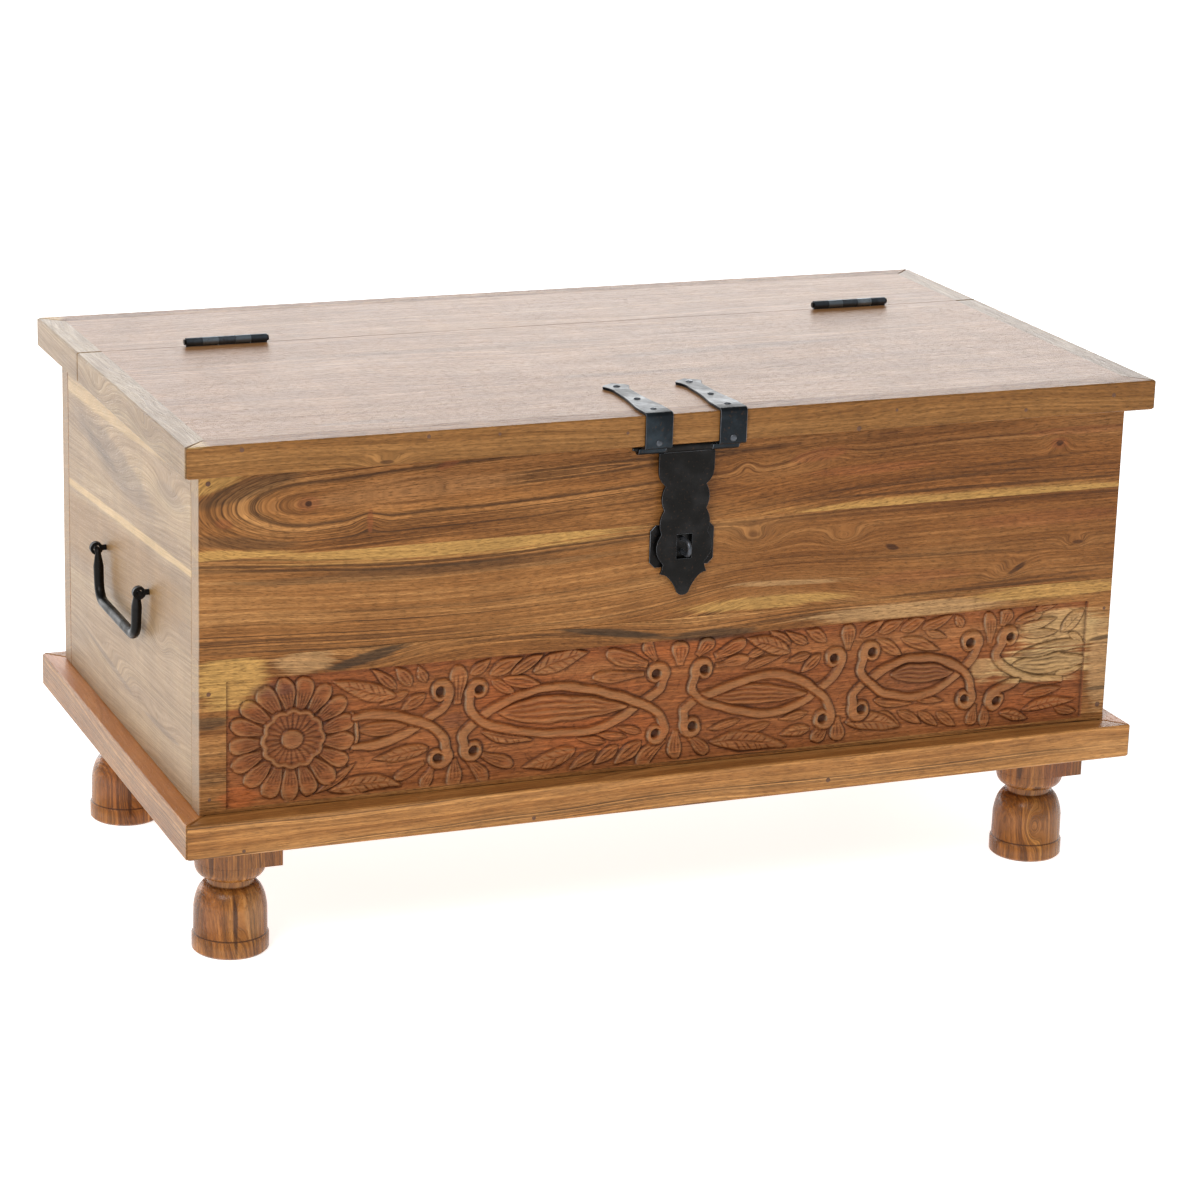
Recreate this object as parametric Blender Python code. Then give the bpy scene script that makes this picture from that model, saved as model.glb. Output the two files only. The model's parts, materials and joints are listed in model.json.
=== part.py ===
# Wooden chest on turned feet, with a hinged lid, a hasp and two bail handles.
# Units are metres. +X is the chest's right, +Y its back and +Z up; the floor is at z = 0.

import math

import bmesh
import bpy
from mathutils import Matrix, Vector

for old in list(bpy.data.objects):
    bpy.data.objects.remove(old, do_unlink=True)

# Clearances
touch_gap = 0.0003
running_gap = 0.0003
seam_gap = 0.0010

# Feet
foot_ring_radius = 0.0336
foot_ring_height = 0.0165
foot_bell_radius = 0.0322
foot_bell_height = 0.0450
foot_neck_radius = 0.0205
foot_neck_height = 0.0060
foot_bowl_radius = 0.0310
foot_rim_height = 0.0040
foot_shoulder_drop = 0.0280
foot_edge = 0.0020
foot_inset_x = 0.0606
foot_inset_y = 0.0755
foot_sides = 40
foot_bell_steps = 8
foot_bowl_steps = 6
tenon_radius = 0.0110
tenon_length = 0.0220
block_reach = 0.0380
block_height = 0.0302

# Plinth
plinth_ledge_x = 0.0175
plinth_ledge_y = 0.0215
plinth_height = 0.0310
plinth_member = 0.1150

# Carcass
body_width = 0.8650
body_depth = 0.4550
wall_height = 0.2985
wall_thickness = 0.0220
front_lower_height = 0.1360
front_middle_height = 0.0860
side_lower_height = 0.1040
side_middle_height = 0.0820
floor_thickness = 0.0120
floor_board_count = 3
board_edge = 0.0006
carved_margin_end = 0.0235
carved_margin_low = 0.0045
carved_height = 0.1120
carved_depth = 0.0025

# Lid and rear rail
lid_overhang_x = 0.0175
lid_overhang_y = 0.0225
slab_thickness = 0.0270
rail_depth = 0.1500
strip_width = 0.0220
lid_board_count = 3
slab_edge = 0.0012

# Butt hinges
hinge_from_end = 0.1380
hinge_length = 0.0760
hinge_knuckles = 5
barrel_radius = 0.0037
hinge_pin_radius = 0.0016
hinge_pin_head = 0.0012
leaf_height = 0.0220
leaf_thickness = 0.0014
round_sides = 24
smooth_angle = 35

# Straps, rod, hasp, back plate and staple
strap_offset_x = 0.0345
strap_width = 0.0250
strap_thickness = 0.0025
strap_reach = 0.1080
strap_waist_width = 0.0165
strap_waist_from_tip = 0.0312
strap_side_hollow = 0.0012
strap_lobe_width = 0.0250
strap_lobe_from_tip = 0.0112
strap_lobe_hollow = 0.0020
strap_nose_width = 0.0112
strap_nose_from_tip = 0.0038
strap_nose_bulge = 0.0015
strap_bend_radius = 0.0022
strap_bend_steps = 4
strap_loop_steps = 20
strap_loop_end = -190
rod_radius = 0.0026
rod_end_radius = 0.0013
rod_length = 0.1020
loop_wall_gap = 0.0008
hasp_thickness = 0.0025
hasp_drop = 0.1340
hasp_slot_width = 0.0144
hasp_slot_height = 0.0220
hasp_slot_drop = 0.0900
hasp_edge_steps = 8
hasp_shoulder_half = 0.0260
# Half width, drop below the rod, and bulge of the edge on its way to the next point
hasp_edge = (
    (0.0260, 0.0210, 0.0020),
    (0.0190, 0.0350, 0.0030),
    (0.0196, 0.0570, 0.0028),
    (0.0216, 0.0780, 0.0056),
    (0.0194, 0.1050, -0.0006),
    (0.0219, 0.1140, -0.0012),
    (0.0127, 0.1190, -0.0008),
    (0.0054, 0.1315, 0.0006),
)
back_plate_width = 0.0600
back_plate_height = 0.0380
back_plate_thickness = 0.0018
back_plate_chamfer = 0.0050
staple_rod_radius = 0.0020
staple_span = 0.0120
staple_reach = 0.0120
staple_depth = 0.0140

# Bail handles
bail_board_rise = 0.0477
bail_eye_span = 0.1450
bail_stand_off = 0.0090
bail_drop = 0.0440
bail_bottom_span = 0.1270
bail_corner_radius = 0.0160
bail_pin_radius = 0.0023
bail_neck_radius = 0.0028
bail_arm_radius = 0.0048
bail_arm_swell = 0.45
bail_grip_radius = 0.0046
bail_pin_length = 0.0018
bail_shoulder_radius = 0.0035
eye_bore_radius = 0.0030
eye_ring_radius = 0.0058
eye_width = 0.0050
eye_shank_radius = 0.0026
eye_shank_depth = 0.0180

# Widths and depths that follow from the sizes above
plinth_width = body_width + 2 * plinth_ledge_x
plinth_depth = body_depth + 2 * plinth_ledge_y
slab_width = body_width + 2 * lid_overhang_x
slab_depth = body_depth + 2 * lid_overhang_y
hinge_offset_x = slab_width / 2 - hinge_from_end

# Heights that follow from the sizes above
foot_bowl_rise = foot_bowl_radius - foot_neck_radius
foot_bowl_low = foot_ring_height + foot_bell_height + foot_neck_height
foot_height = foot_bowl_low + foot_bowl_rise + foot_rim_height
block_low = foot_height + touch_gap
plinth_low = block_low + block_height + touch_gap
plinth_top = plinth_low + plinth_height
wall_low = plinth_top + touch_gap
wall_top = wall_low + wall_height
slab_low = wall_top + touch_gap
slab_top = slab_low + slab_thickness

bail_height = wall_low + side_lower_height + touch_gap + bail_board_rise

# Planes that follow from the sizes above; the origin is under the middle of the whole, straps included
middle_y = (strap_thickness + touch_gap) / 2
body_front = middle_y - body_depth / 2
body_back = middle_y + body_depth / 2
body_right = body_width / 2
slab_front = middle_y - slab_depth / 2
slab_back = middle_y + slab_depth / 2
slab_right = slab_width / 2
seam_y = slab_back - rail_depth
hinge_axis = Vector((0.0, seam_y, slab_top + barrel_radius + running_gap))
loop_bore = rod_radius + running_gap
loop_radius = loop_bore + strap_thickness
rod_axis = Vector((
    0.0,
    body_front - loop_wall_gap - loop_radius,
    slab_low - touch_gap - loop_radius,
))
hasp_barrel_half = strap_offset_x - strap_width / 2 - running_gap
bail_axis_x = body_right + bail_stand_off


# Materials

def material(name, color, roughness, metallic=0.0):
    made = bpy.data.materials.new(name)
    made.use_nodes = True
    shader = made.node_tree.nodes["Principled BSDF"]
    shader.inputs["Base Color"].default_value = (*color, 1.0)
    shader.inputs["Roughness"].default_value = roughness
    shader.inputs["Metallic"].default_value = metallic
    return made


def wood(name):
    return material(name + "_wood", (0.42, 0.23, 0.10), 0.45)


def iron(name):
    return material(name + "_iron", (0.03, 0.03, 0.035), 0.5, 0.9)


# Mesh helpers

def add_object(name, mesh_builder, finish=None):
    mesh = bpy.data.meshes.new(name)
    bmesh.ops.recalc_face_normals(mesh_builder, faces=mesh_builder.faces)
    mesh_builder.to_mesh(mesh)
    mesh_builder.free()
    made = bpy.data.objects.new(name, mesh)
    bpy.context.scene.collection.objects.link(made)
    if finish:
        mesh.materials.append(finish(name))
    return made


def prism(name, outline, normal, low, high, finish=None):
    """Extrude a flat outline along X, Y or Z between two heights."""
    place = {
        "X": lambda u, v, h: (h, u, v),
        "Y": lambda u, v, h: (u, h, v),
        "Z": lambda u, v, h: (u, v, h),
    }[normal]
    builder = bmesh.new()
    lower = [builder.verts.new(place(u, v, low)) for u, v in outline]
    upper = [builder.verts.new(place(u, v, high)) for u, v in outline]
    builder.faces.new(lower)
    builder.faces.new(upper)
    for index in range(len(outline)):
        after = (index + 1) % len(outline)
        builder.faces.new((lower[index], lower[after], upper[after], upper[index]))
    return add_object(name, builder, finish)


def block(name, low, high, finish=None):
    outline = [(low[0], low[1]), (high[0], low[1]), (high[0], high[1]), (low[0], high[1])]
    return prism(name, outline, "Z", low[2], high[2], finish)


def turned(name, profile, origin, axis, sides, finish=None):
    """Turn a profile of (radius, distance) points round an axis; both ends are closed flat."""
    turn = Vector((0, 0, 1)).rotation_difference(Vector(axis)).to_matrix()
    builder = bmesh.new()
    rings = []
    for radius, distance in profile:
        ring = []
        for step in range(sides):
            angle = 2 * math.pi * step / sides
            point = Vector((radius * math.cos(angle), radius * math.sin(angle), distance))
            ring.append(builder.verts.new(Vector(origin) + turn @ point))
        rings.append(ring)
    for first, second in zip(rings, rings[1:]):
        for step in range(sides):
            after = (step + 1) % sides
            builder.faces.new((first[step], first[after], second[after], second[step]))
    builder.faces.new(rings[0])
    builder.faces.new(rings[-1])
    made = add_object(name, builder, finish)
    made.data.shade_smooth()
    made.data.set_sharp_from_angle(angle=math.radians(smooth_angle))
    return made


def rod(name, start, end, radius, sides, finish=None):
    run = Vector(end) - Vector(start)
    return turned(name, [(radius, 0.0), (radius, run.length)], start, run.normalized(), sides, finish)


def tube(name, path, radii, side, sides, finish=None):
    """Sweep a round section along a flat path; side is the normal of the path's plane."""
    side = Vector(side)
    builder = bmesh.new()
    rings = []
    for index, point in enumerate(path):
        before = path[max(index - 1, 0)]
        after = path[min(index + 1, len(path) - 1)]
        across = side.cross((after - before).normalized())
        ring = []
        for step in range(sides):
            angle = 2 * math.pi * step / sides
            offset = side * math.cos(angle) + across * math.sin(angle)
            ring.append(builder.verts.new(point + offset * radii[index]))
        rings.append(ring)
    for first, second in zip(rings, rings[1:]):
        for step in range(sides):
            after = (step + 1) % sides
            builder.faces.new((first[step], first[after], second[after], second[step]))
    builder.faces.new(rings[0])
    builder.faces.new(rings[-1])
    made = add_object(name, builder, finish)
    made.data.shade_smooth()
    made.data.set_sharp_from_angle(angle=math.radians(smooth_angle))
    return made


def combine(target, tool, operation):
    """Boolean one object with a hidden tool."""
    tool.hide_render = True
    tool.display_type = "WIRE"
    step = target.modifiers.new(tool.name, "BOOLEAN")
    step.operation = operation
    step.object = tool
    step.solver = "EXACT"


def soften(target, width):
    bevel = target.modifiers.new("soft_edges", "BEVEL")
    bevel.width = width
    bevel.segments = 1
    bevel.limit_method = "ANGLE"


def arc(centre, radius, start, end, steps):
    """Points on a flat arc, angles in degrees."""
    points = []
    for step in range(steps + 1):
        angle = math.radians(start + (end - start) * step / steps)
        points.append((centre[0] + radius * math.cos(angle), centre[1] + radius * math.sin(angle)))
    return points


def bulged(start, end, rise, steps):
    """Points from start up to, not including, end on an arc that rises to the right of the run."""
    run = Vector(end) - Vector(start)
    normal = Vector((run.y, -run.x)).normalized()
    points = []
    for step in range(steps):
        share = step / steps
        point = Vector(start) + run * share + normal * (4 * rise * share * (1 - share))
        points.append((point.x, point.y))
    return points


def ribbon(path, thickness):
    """Outline of a strip of even thickness along a flat path."""
    left = []
    right = []
    for index, point in enumerate(path):
        here = Vector(point)
        before = Vector(path[max(index - 1, 0)])
        after = Vector(path[min(index + 1, len(path) - 1)])
        first = (here - before).normalized() if index else (after - here).normalized()
        second = (after - here).normalized() if index < len(path) - 1 else first
        middle = (first + second).normalized()
        normal = Vector((-middle.y, middle.x))
        reach = thickness / 2 / max(middle.dot(first), 0.5)
        left.append(tuple(here + normal * reach))
        right.append(tuple(here - normal * reach))
    return left + right[::-1]


# Pivots

def pivot(name, place, carrier=None):
    made = bpy.data.objects.new(name, None)
    bpy.context.scene.collection.objects.link(made)
    made.location = place
    if carrier:
        made.parent = carrier
        made.matrix_parent_inverse = Matrix.Translation(carrier_place[carrier.name]).inverted()
    carrier_place[name] = Vector(place)
    return made


def ride(carrier, *pieces):
    for piece in pieces:
        piece.parent = carrier
        piece.matrix_parent_inverse = Matrix.Translation(carrier_place[carrier.name]).inverted()


carrier_place = {}
lid_pivot = pivot("lid_pivot", hinge_axis)
hasp_pivot = pivot("hasp_pivot", rod_axis, lid_pivot)


# Mitred frames

def mitred_frame(names, half_x, front, back, member_x, member_y, low, high, edge):
    """Strips round a rectangle, mitred where two of them meet; a name left out has a square end there."""
    gap = touch_gap / 2 * math.sqrt(2)
    pieces = {}
    if "front" in names:
        outline = [
            (-half_x + gap, front),
            (half_x - gap, front),
            (half_x - member_x - gap, front + member_y),
            (-half_x + member_x + gap, front + member_y),
        ]
        pieces["front"] = prism(names["front"], outline, "Z", low, high, wood)
    if "back" in names:
        outline = [
            (-half_x + member_x + gap, back - member_y),
            (half_x - member_x - gap, back - member_y),
            (half_x - gap, back),
            (-half_x + gap, back),
        ]
        pieces["back"] = prism(names["back"], outline, "Z", low, high, wood)
    for key, sign in (("left", -1), ("right", 1)):
        front_in = front + member_y if "front" in names else front
        back_in = back - member_y if "back" in names else back
        front_gap = gap if "front" in names else 0.0
        back_gap = gap if "back" in names else 0.0
        outline = [
            (sign * half_x, front + front_gap),
            (sign * half_x, back - back_gap),
            (sign * (half_x - member_x), back_in - back_gap),
            (sign * (half_x - member_x), front_in + front_gap),
        ]
        pieces[key] = prism(names[key], outline, "Z", low, high, wood)
    for piece in pieces.values():
        soften(piece, edge)
    return pieces


# Feet and corner blocks

def foot_profile():
    """Half outline of the turned foot from the floor to the top of its tenon."""
    bell_top = foot_ring_height + foot_bell_height
    bell_reach = foot_bell_radius - foot_neck_radius
    points = [
        (foot_ring_radius - foot_edge, 0.0),
        (foot_ring_radius, foot_edge),
        (foot_ring_radius, foot_ring_height - foot_edge),
        (foot_bell_radius, foot_ring_height),
    ]
    for step in range(1, foot_bell_steps + 1):
        turn = math.pi / 2 * step / foot_bell_steps
        points.append((
            foot_neck_radius + bell_reach * math.cos(turn),
            bell_top - foot_shoulder_drop * (1 - math.sin(turn)),
        ))
    points.append((foot_neck_radius, foot_bowl_low))
    for step in range(1, foot_bowl_steps + 1):
        turn = math.pi / 2 * step / foot_bowl_steps
        points.append((
            foot_neck_radius + foot_bowl_rise * math.sin(turn),
            foot_bowl_low + foot_bowl_rise * (1 - math.cos(turn)),
        ))
    points.append((foot_bowl_radius, foot_height))
    points.append((tenon_radius, foot_height))
    points.append((tenon_radius, foot_height + tenon_length))
    return points


for side_name, side_sign in (("left", -1), ("right", 1)):
    for end_name, end_sign in (("front", -1), ("back", 1)):
        tag = end_name + "_" + side_name
        centre_x = side_sign * (plinth_width / 2 - foot_inset_x)
        centre_y = middle_y + end_sign * (plinth_depth / 2 - foot_inset_y)
        turned("foot_" + tag, foot_profile(), (centre_x, centre_y, 0.0), (0, 0, 1), foot_sides, wood)
        block_outline = arc((centre_x, centre_y), foot_bowl_radius, 90, 270, foot_sides // 2)
        block_outline.append((centre_x + block_reach, centre_y - foot_bowl_radius))
        block_outline.append((centre_x + block_reach, centre_y + foot_bowl_radius))
        corner_block = prism(
            "corner_block_" + tag,
            block_outline,
            "Z",
            block_low,
            block_low + block_height,
            wood,
        )
        soften(corner_block, board_edge)
        tenon_hole = rod(
            "cut_tenon_" + tag,
            (centre_x, centre_y, foot_height - tenon_length),
            (centre_x, centre_y, foot_height + tenon_length + touch_gap),
            tenon_radius + touch_gap,
            foot_sides,
        )
        combine(corner_block, tenon_hole, "DIFFERENCE")

# Plinth
mitred_frame(
    {key: "plinth_" + key for key in ("front", "back", "left", "right")},
    plinth_width / 2,
    middle_y - plinth_depth / 2,
    middle_y + plinth_depth / 2,
    plinth_member,
    plinth_member,
    plinth_low,
    plinth_top,
    slab_edge,
)


# Carcass boards

def stack(prefix, heights, low, high):
    """Boards of the given heights glued edge to edge, the last one filling up to the wall's top."""
    boards = []
    level = wall_low
    for key, height in heights:
        top = wall_top if height is None else level + height
        board = block(prefix + key, (low[0], low[1], level), (high[0], high[1], top), wood)
        soften(board, board_edge)
        boards.append(board)
        level = top + touch_gap
    return boards


front_heights = (("lower", front_lower_height), ("middle", front_middle_height), ("upper", None))
side_heights = (("lower", side_lower_height), ("middle", side_middle_height), ("upper", None))
front_boards = stack(
    "front_board_",
    front_heights,
    (-body_right, body_front),
    (body_right, body_front + wall_thickness),
)
back_boards = stack(
    "back_board_",
    front_heights,
    (-body_right, body_back - wall_thickness),
    (body_right, body_back),
)
inner_front = body_front + wall_thickness + touch_gap
inner_back = body_back - wall_thickness - touch_gap
left_boards = stack(
    "left_board_",
    side_heights,
    (-body_right, inner_front),
    (-body_right + wall_thickness, inner_back),
)
right_boards = stack(
    "right_board_",
    side_heights,
    (body_right - wall_thickness, inner_front),
    (body_right, inner_back),
)
carved_pocket = block(
    "cut_carved_panel",
    (-body_right + carved_margin_end, body_front - carved_depth, wall_low + carved_margin_low),
    (body_right - carved_margin_end, body_front + carved_depth, wall_low + carved_margin_low + carved_height),
)
combine(front_boards[0], carved_pocket, "DIFFERENCE")

floor_half_x = body_right - wall_thickness - touch_gap
floor_pitch = (inner_back - inner_front) / floor_board_count
for index in range(floor_board_count):
    near = inner_front + index * floor_pitch + touch_gap / 2
    far = inner_front + (index + 1) * floor_pitch - touch_gap / 2
    floor_board = block(
        "floor_board_" + str(index + 1),
        (-floor_half_x, near, wall_low),
        (floor_half_x, far, wall_low + floor_thickness),
        wood,
    )
    soften(floor_board, board_edge)

# Lid
lid_back = seam_y - seam_gap / 2
lid_strips = mitred_frame(
    {"front": "lid_front_strip", "left": "lid_left_strip", "right": "lid_right_strip"},
    slab_right,
    slab_front,
    lid_back,
    strip_width,
    strip_width,
    slab_low,
    slab_top,
    slab_edge,
)
panel_half_x = slab_right - strip_width - touch_gap
lid_near = slab_front + strip_width + touch_gap
lid_pitch = (lid_back - lid_near) / lid_board_count
lid_boards = []
for index in range(lid_board_count):
    gap_after = touch_gap if index < lid_board_count - 1 else 0.0
    lid_board = block(
        "lid_board_" + str(index + 1),
        (-panel_half_x, lid_near + index * lid_pitch, slab_low),
        (panel_half_x, lid_near + (index + 1) * lid_pitch - gap_after, slab_top),
        wood,
    )
    soften(lid_board, board_edge)
    lid_boards.append(lid_board)
ride(lid_pivot, *lid_strips.values(), *lid_boards)

# Rear rail
rail_front = seam_y + seam_gap / 2
mitred_frame(
    {"back": "rail_back_strip", "left": "rail_left_strip", "right": "rail_right_strip"},
    slab_right,
    rail_front,
    slab_back,
    strip_width,
    strip_width,
    slab_low,
    slab_top,
    slab_edge,
)
rail_board = block(
    "rail_board",
    (-panel_half_x, rail_front, slab_low),
    (panel_half_x, slab_back - strip_width - touch_gap, slab_top),
    wood,
)
soften(rail_board, board_edge)


# Butt hinges

def hinge_leaf(name, centre_x, sign, knuckles):
    """One leaf with its knuckles; sign is -1 for the lid's leaf and 1 for the rail's."""
    near = seam_y + sign * touch_gap / 2
    far = near + sign * leaf_thickness
    plate_top = hinge_axis.z - barrel_radius - running_gap
    leaf = block(
        name,
        (centre_x - hinge_length / 2, min(near, far), slab_top - leaf_height),
        (centre_x + hinge_length / 2, max(near, far), plate_top),
        iron,
    )
    pitch = hinge_length / hinge_knuckles
    bore = hinge_pin_radius + running_gap
    for index in knuckles:
        start = centre_x - hinge_length / 2 + index * pitch + running_gap / 2
        end = start + pitch - running_gap
        tab = block(
            "join_tab_%s_%d" % (name, index),
            (start, min(near, far), plate_top - leaf_thickness),
            (end, max(near, far), hinge_axis.z - (barrel_radius + bore) / 2),
        )
        combine(leaf, tab, "UNION")
        barrel = rod(
            "join_barrel_%s_%d" % (name, index),
            (start, hinge_axis.y, hinge_axis.z),
            (end, hinge_axis.y, hinge_axis.z),
            barrel_radius,
            round_sides,
        )
        combine(leaf, barrel, "UNION")
    bore_cut = rod(
        "cut_bore_" + name,
        (centre_x - hinge_length, hinge_axis.y, hinge_axis.z),
        (centre_x + hinge_length, hinge_axis.y, hinge_axis.z),
        bore,
        round_sides,
    )
    combine(leaf, bore_cut, "DIFFERENCE")
    return leaf


def hinge_pin(name, centre_x):
    half = hinge_length / 2 + running_gap
    head_radius = (barrel_radius + hinge_pin_radius) / 2
    profile = [
        (head_radius, -half - hinge_pin_head),
        (head_radius, -half),
        (hinge_pin_radius, -half),
        (hinge_pin_radius, half),
        (head_radius, half),
        (head_radius, half + hinge_pin_head),
    ]
    return turned(name, profile, (centre_x, hinge_axis.y, hinge_axis.z), (1, 0, 0), round_sides, iron)


def mortise(target, name, centre_x, sign):
    deep = seam_y + sign * (touch_gap / 2 + leaf_thickness + touch_gap)
    open_side = seam_y - sign * seam_gap
    cutter = block(
        name,
        (centre_x - hinge_length / 2 - touch_gap, min(deep, open_side), slab_top - leaf_height - touch_gap),
        (centre_x + hinge_length / 2 + touch_gap, max(deep, open_side), slab_top + barrel_radius),
    )
    combine(target, cutter, "DIFFERENCE")


for side_name, side_sign in (("left", -1), ("right", 1)):
    hinge_x = side_sign * hinge_offset_x
    lid_leaf = hinge_leaf("hinge_lid_leaf_" + side_name, hinge_x, -1, range(0, hinge_knuckles, 2))
    hinge_leaf("hinge_rail_leaf_" + side_name, hinge_x, 1, range(1, hinge_knuckles, 2))
    hinge_pin("hinge_pin_" + side_name, hinge_x)
    mortise(lid_boards[-1], "cut_lid_mortise_" + side_name, hinge_x, -1)
    mortise(rail_board, "cut_rail_mortise_" + side_name, hinge_x, 1)
    ride(lid_pivot, lid_leaf)


# Straps over the lid's front edge

def strap_path():
    """Middle line of the strap in the YZ plane, from its tip on the lid to the end of its loop."""
    half = strap_thickness / 2
    top = slab_top + touch_gap + half
    front = slab_front - touch_gap - half
    low = slab_low - touch_gap - half
    bend = strap_bend_radius
    path = [(slab_front + strap_reach, top)]
    path += arc((front + bend, top - bend), bend, 90, 180, strap_bend_steps)
    path += arc((front + bend, low + bend), bend, 180, 270, strap_bend_steps)
    path += arc((rod_axis.y, rod_axis.z), loop_bore + half, 90, strap_loop_end, strap_loop_steps)
    return path


def strap_plan(centre_x):
    """Plan outline: parallel at the fold, waisted on the lid and flared to a pointed tip."""
    back = body_front + touch_gap
    tip = slab_front + strap_reach
    fold = (strap_width / 2, back)
    waist = (strap_waist_width / 2, tip - strap_waist_from_tip)
    lobe = (strap_lobe_width / 2, tip - strap_lobe_from_tip)
    nose = (strap_nose_width / 2, tip - strap_nose_from_tip)
    side = [(strap_width / 2, slab_front - 2 * strap_thickness)]
    side += bulged(fold, waist, -strap_side_hollow, 8)
    side += bulged(waist, lobe, -strap_lobe_hollow, 6)
    side += bulged(lobe, nose, strap_nose_bulge, 5)
    side.append(nose)
    outline = [(centre_x + x, y) for x, y in side]
    outline.append((centre_x, tip + touch_gap))
    outline += [(centre_x - x, y) for x, y in reversed(side)]
    return outline


for side_name, side_sign in (("left", -1), ("right", 1)):
    strap_x = side_sign * strap_offset_x
    strap = prism(
        "strap_" + side_name,
        ribbon(strap_path(), strap_thickness),
        "X",
        strap_x - strap_width,
        strap_x + strap_width,
        iron,
    )
    plan = prism(
        "keep_strap_plan_" + side_name,
        strap_plan(strap_x),
        "Z",
        rod_axis.z - 2 * loop_radius,
        slab_top + 2 * strap_thickness,
    )
    combine(strap, plan, "INTERSECT")
    ride(lid_pivot, strap)

hasp_rod = turned(
    "hasp_rod",
    [
        (rod_end_radius, -rod_length / 2),
        (rod_radius, -rod_length / 2 + rod_radius),
        (rod_radius, rod_length / 2 - rod_radius),
        (rod_end_radius, rod_length / 2),
    ],
    rod_axis,
    (1, 0, 0),
    round_sides,
    iron,
)
ride(lid_pivot, hasp_rod)


# Hasp

def hasp_outline():
    """Ornate plate outline in X and Z: barrel, shoulders, three lobes and a pointed end."""
    shoulder = loop_radius + running_gap
    corners = [
        (hasp_barrel_half, 0.0, 0.0),
        (hasp_barrel_half, shoulder, 0.0),
        (hasp_shoulder_half, shoulder, 0.0),
        *hasp_edge,
        (0.0, hasp_drop, 0.0),
    ]
    half = []
    for (x, drop, rise), (next_x, next_drop, _) in zip(corners, corners[1:]):
        steps = hasp_edge_steps if rise else 1
        half += bulged((x, -drop), (next_x, -next_drop), -rise, steps)
    half.append((0.0, -hasp_drop))
    outline = [(x, rod_axis.z + z) for x, z in half]
    outline += [(-x, rod_axis.z + z) for x, z in reversed(half[:-1])]
    return outline


hasp = prism(
    "hasp",
    hasp_outline(),
    "Y",
    rod_axis.y - hasp_thickness / 2,
    rod_axis.y + hasp_thickness / 2,
    iron,
)
hasp_barrel = rod(
    "join_hasp_barrel",
    rod_axis - Vector((hasp_barrel_half, 0, 0)),
    rod_axis + Vector((hasp_barrel_half, 0, 0)),
    loop_radius,
    round_sides,
)
combine(hasp, hasp_barrel, "UNION")
hasp_bore = rod(
    "cut_hasp_bore",
    rod_axis - Vector((strap_width * 2, 0, 0)),
    rod_axis + Vector((strap_width * 2, 0, 0)),
    loop_bore,
    round_sides,
)
combine(hasp, hasp_bore, "DIFFERENCE")
slot_middle = rod_axis.z - hasp_slot_drop
hasp_slot = block(
    "cut_hasp_slot",
    (-hasp_slot_width / 2, rod_axis.y - hasp_thickness, slot_middle - hasp_slot_height / 2),
    (hasp_slot_width / 2, rod_axis.y + hasp_thickness, slot_middle + hasp_slot_height / 2),
)
combine(hasp, hasp_slot, "DIFFERENCE")
ride(hasp_pivot, hasp)

# Back plate and staple
plate_back = body_front - touch_gap
plate_front = plate_back - back_plate_thickness
plate_x = back_plate_width / 2
plate_z = back_plate_height / 2
nick = back_plate_chamfer
plate_outline = [
    (-plate_x + nick, -plate_z),
    (plate_x - nick, -plate_z),
    (plate_x, -plate_z + nick),
    (plate_x, plate_z - nick),
    (plate_x - nick, plate_z),
    (-plate_x + nick, plate_z),
    (-plate_x, plate_z - nick),
    (-plate_x, -plate_z + nick),
]
back_plate = prism(
    "back_plate",
    [(x, slot_middle + z) for x, z in plate_outline],
    "Y",
    plate_front,
    plate_back,
    iron,
)
staple_back = body_front + staple_depth
staple_tip = rod_axis.y - hasp_thickness / 2 - staple_reach + staple_span / 2
staple_path = [(staple_back, slot_middle + staple_span / 2)]
staple_path += arc((staple_tip, slot_middle), staple_span / 2, 90, 270, 12)
staple_path.append((staple_back, slot_middle - staple_span / 2))
tube(
    "staple",
    [Vector((0.0, y, z)) for y, z in staple_path],
    [staple_rod_radius] * len(staple_path),
    (1, 0, 0),
    round_sides // 2,
    iron,
)
for name, sign in (("upper", 1), ("lower", -1)):
    leg_z = slot_middle + sign * staple_span / 2
    leg_hole = rod(
        "cut_staple_leg_" + name,
        (0.0, plate_front - back_plate_thickness, leg_z),
        (0.0, staple_back + touch_gap, leg_z),
        staple_rod_radius + touch_gap,
        round_sides // 2,
    )
    for drilled in (back_plate, *front_boards):
        combine(drilled, leg_hole, "DIFFERENCE")


# Bail handles

def bail_path(centre_x):
    """Middle line of a bail, with its radius at each point, from one pin end to the other."""
    eye_y = bail_eye_span / 2
    low_y = bail_bottom_span / 2
    corner = bail_corner_radius
    bend = bail_shoulder_radius
    neck_y = eye_y - max(eye_width / 2, eye_shank_radius) - running_gap
    half = [(eye_y + eye_width / 2 + bail_pin_length, 0.0, bail_pin_radius)]
    half.append((neck_y, 0.0, bail_pin_radius))
    for y, z in arc((neck_y, -bend), bend, 90, 180, 4)[1:]:
        half.append((y, z, bail_neck_radius))
    neck_end_y, neck_end_z, _ = half[-1]
    corner_arc = arc((low_y - corner, corner - bail_drop), corner, 0, -90, 6)
    arm_y = neck_end_y + (corner_arc[0][0] - neck_end_y) * bail_arm_swell
    arm_z = neck_end_z + (corner_arc[0][1] - neck_end_z) * bail_arm_swell
    half.append((arm_y, arm_z, bail_arm_radius))
    for y, z in corner_arc:
        half.append((y, z, bail_grip_radius))
    full = half + [(-y, z, radius) for y, z, radius in reversed(half)]
    points = [Vector((centre_x, middle_y + y, bail_height + z)) for y, z, _ in full]
    return points, [radius for _, _, radius in full]


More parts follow.
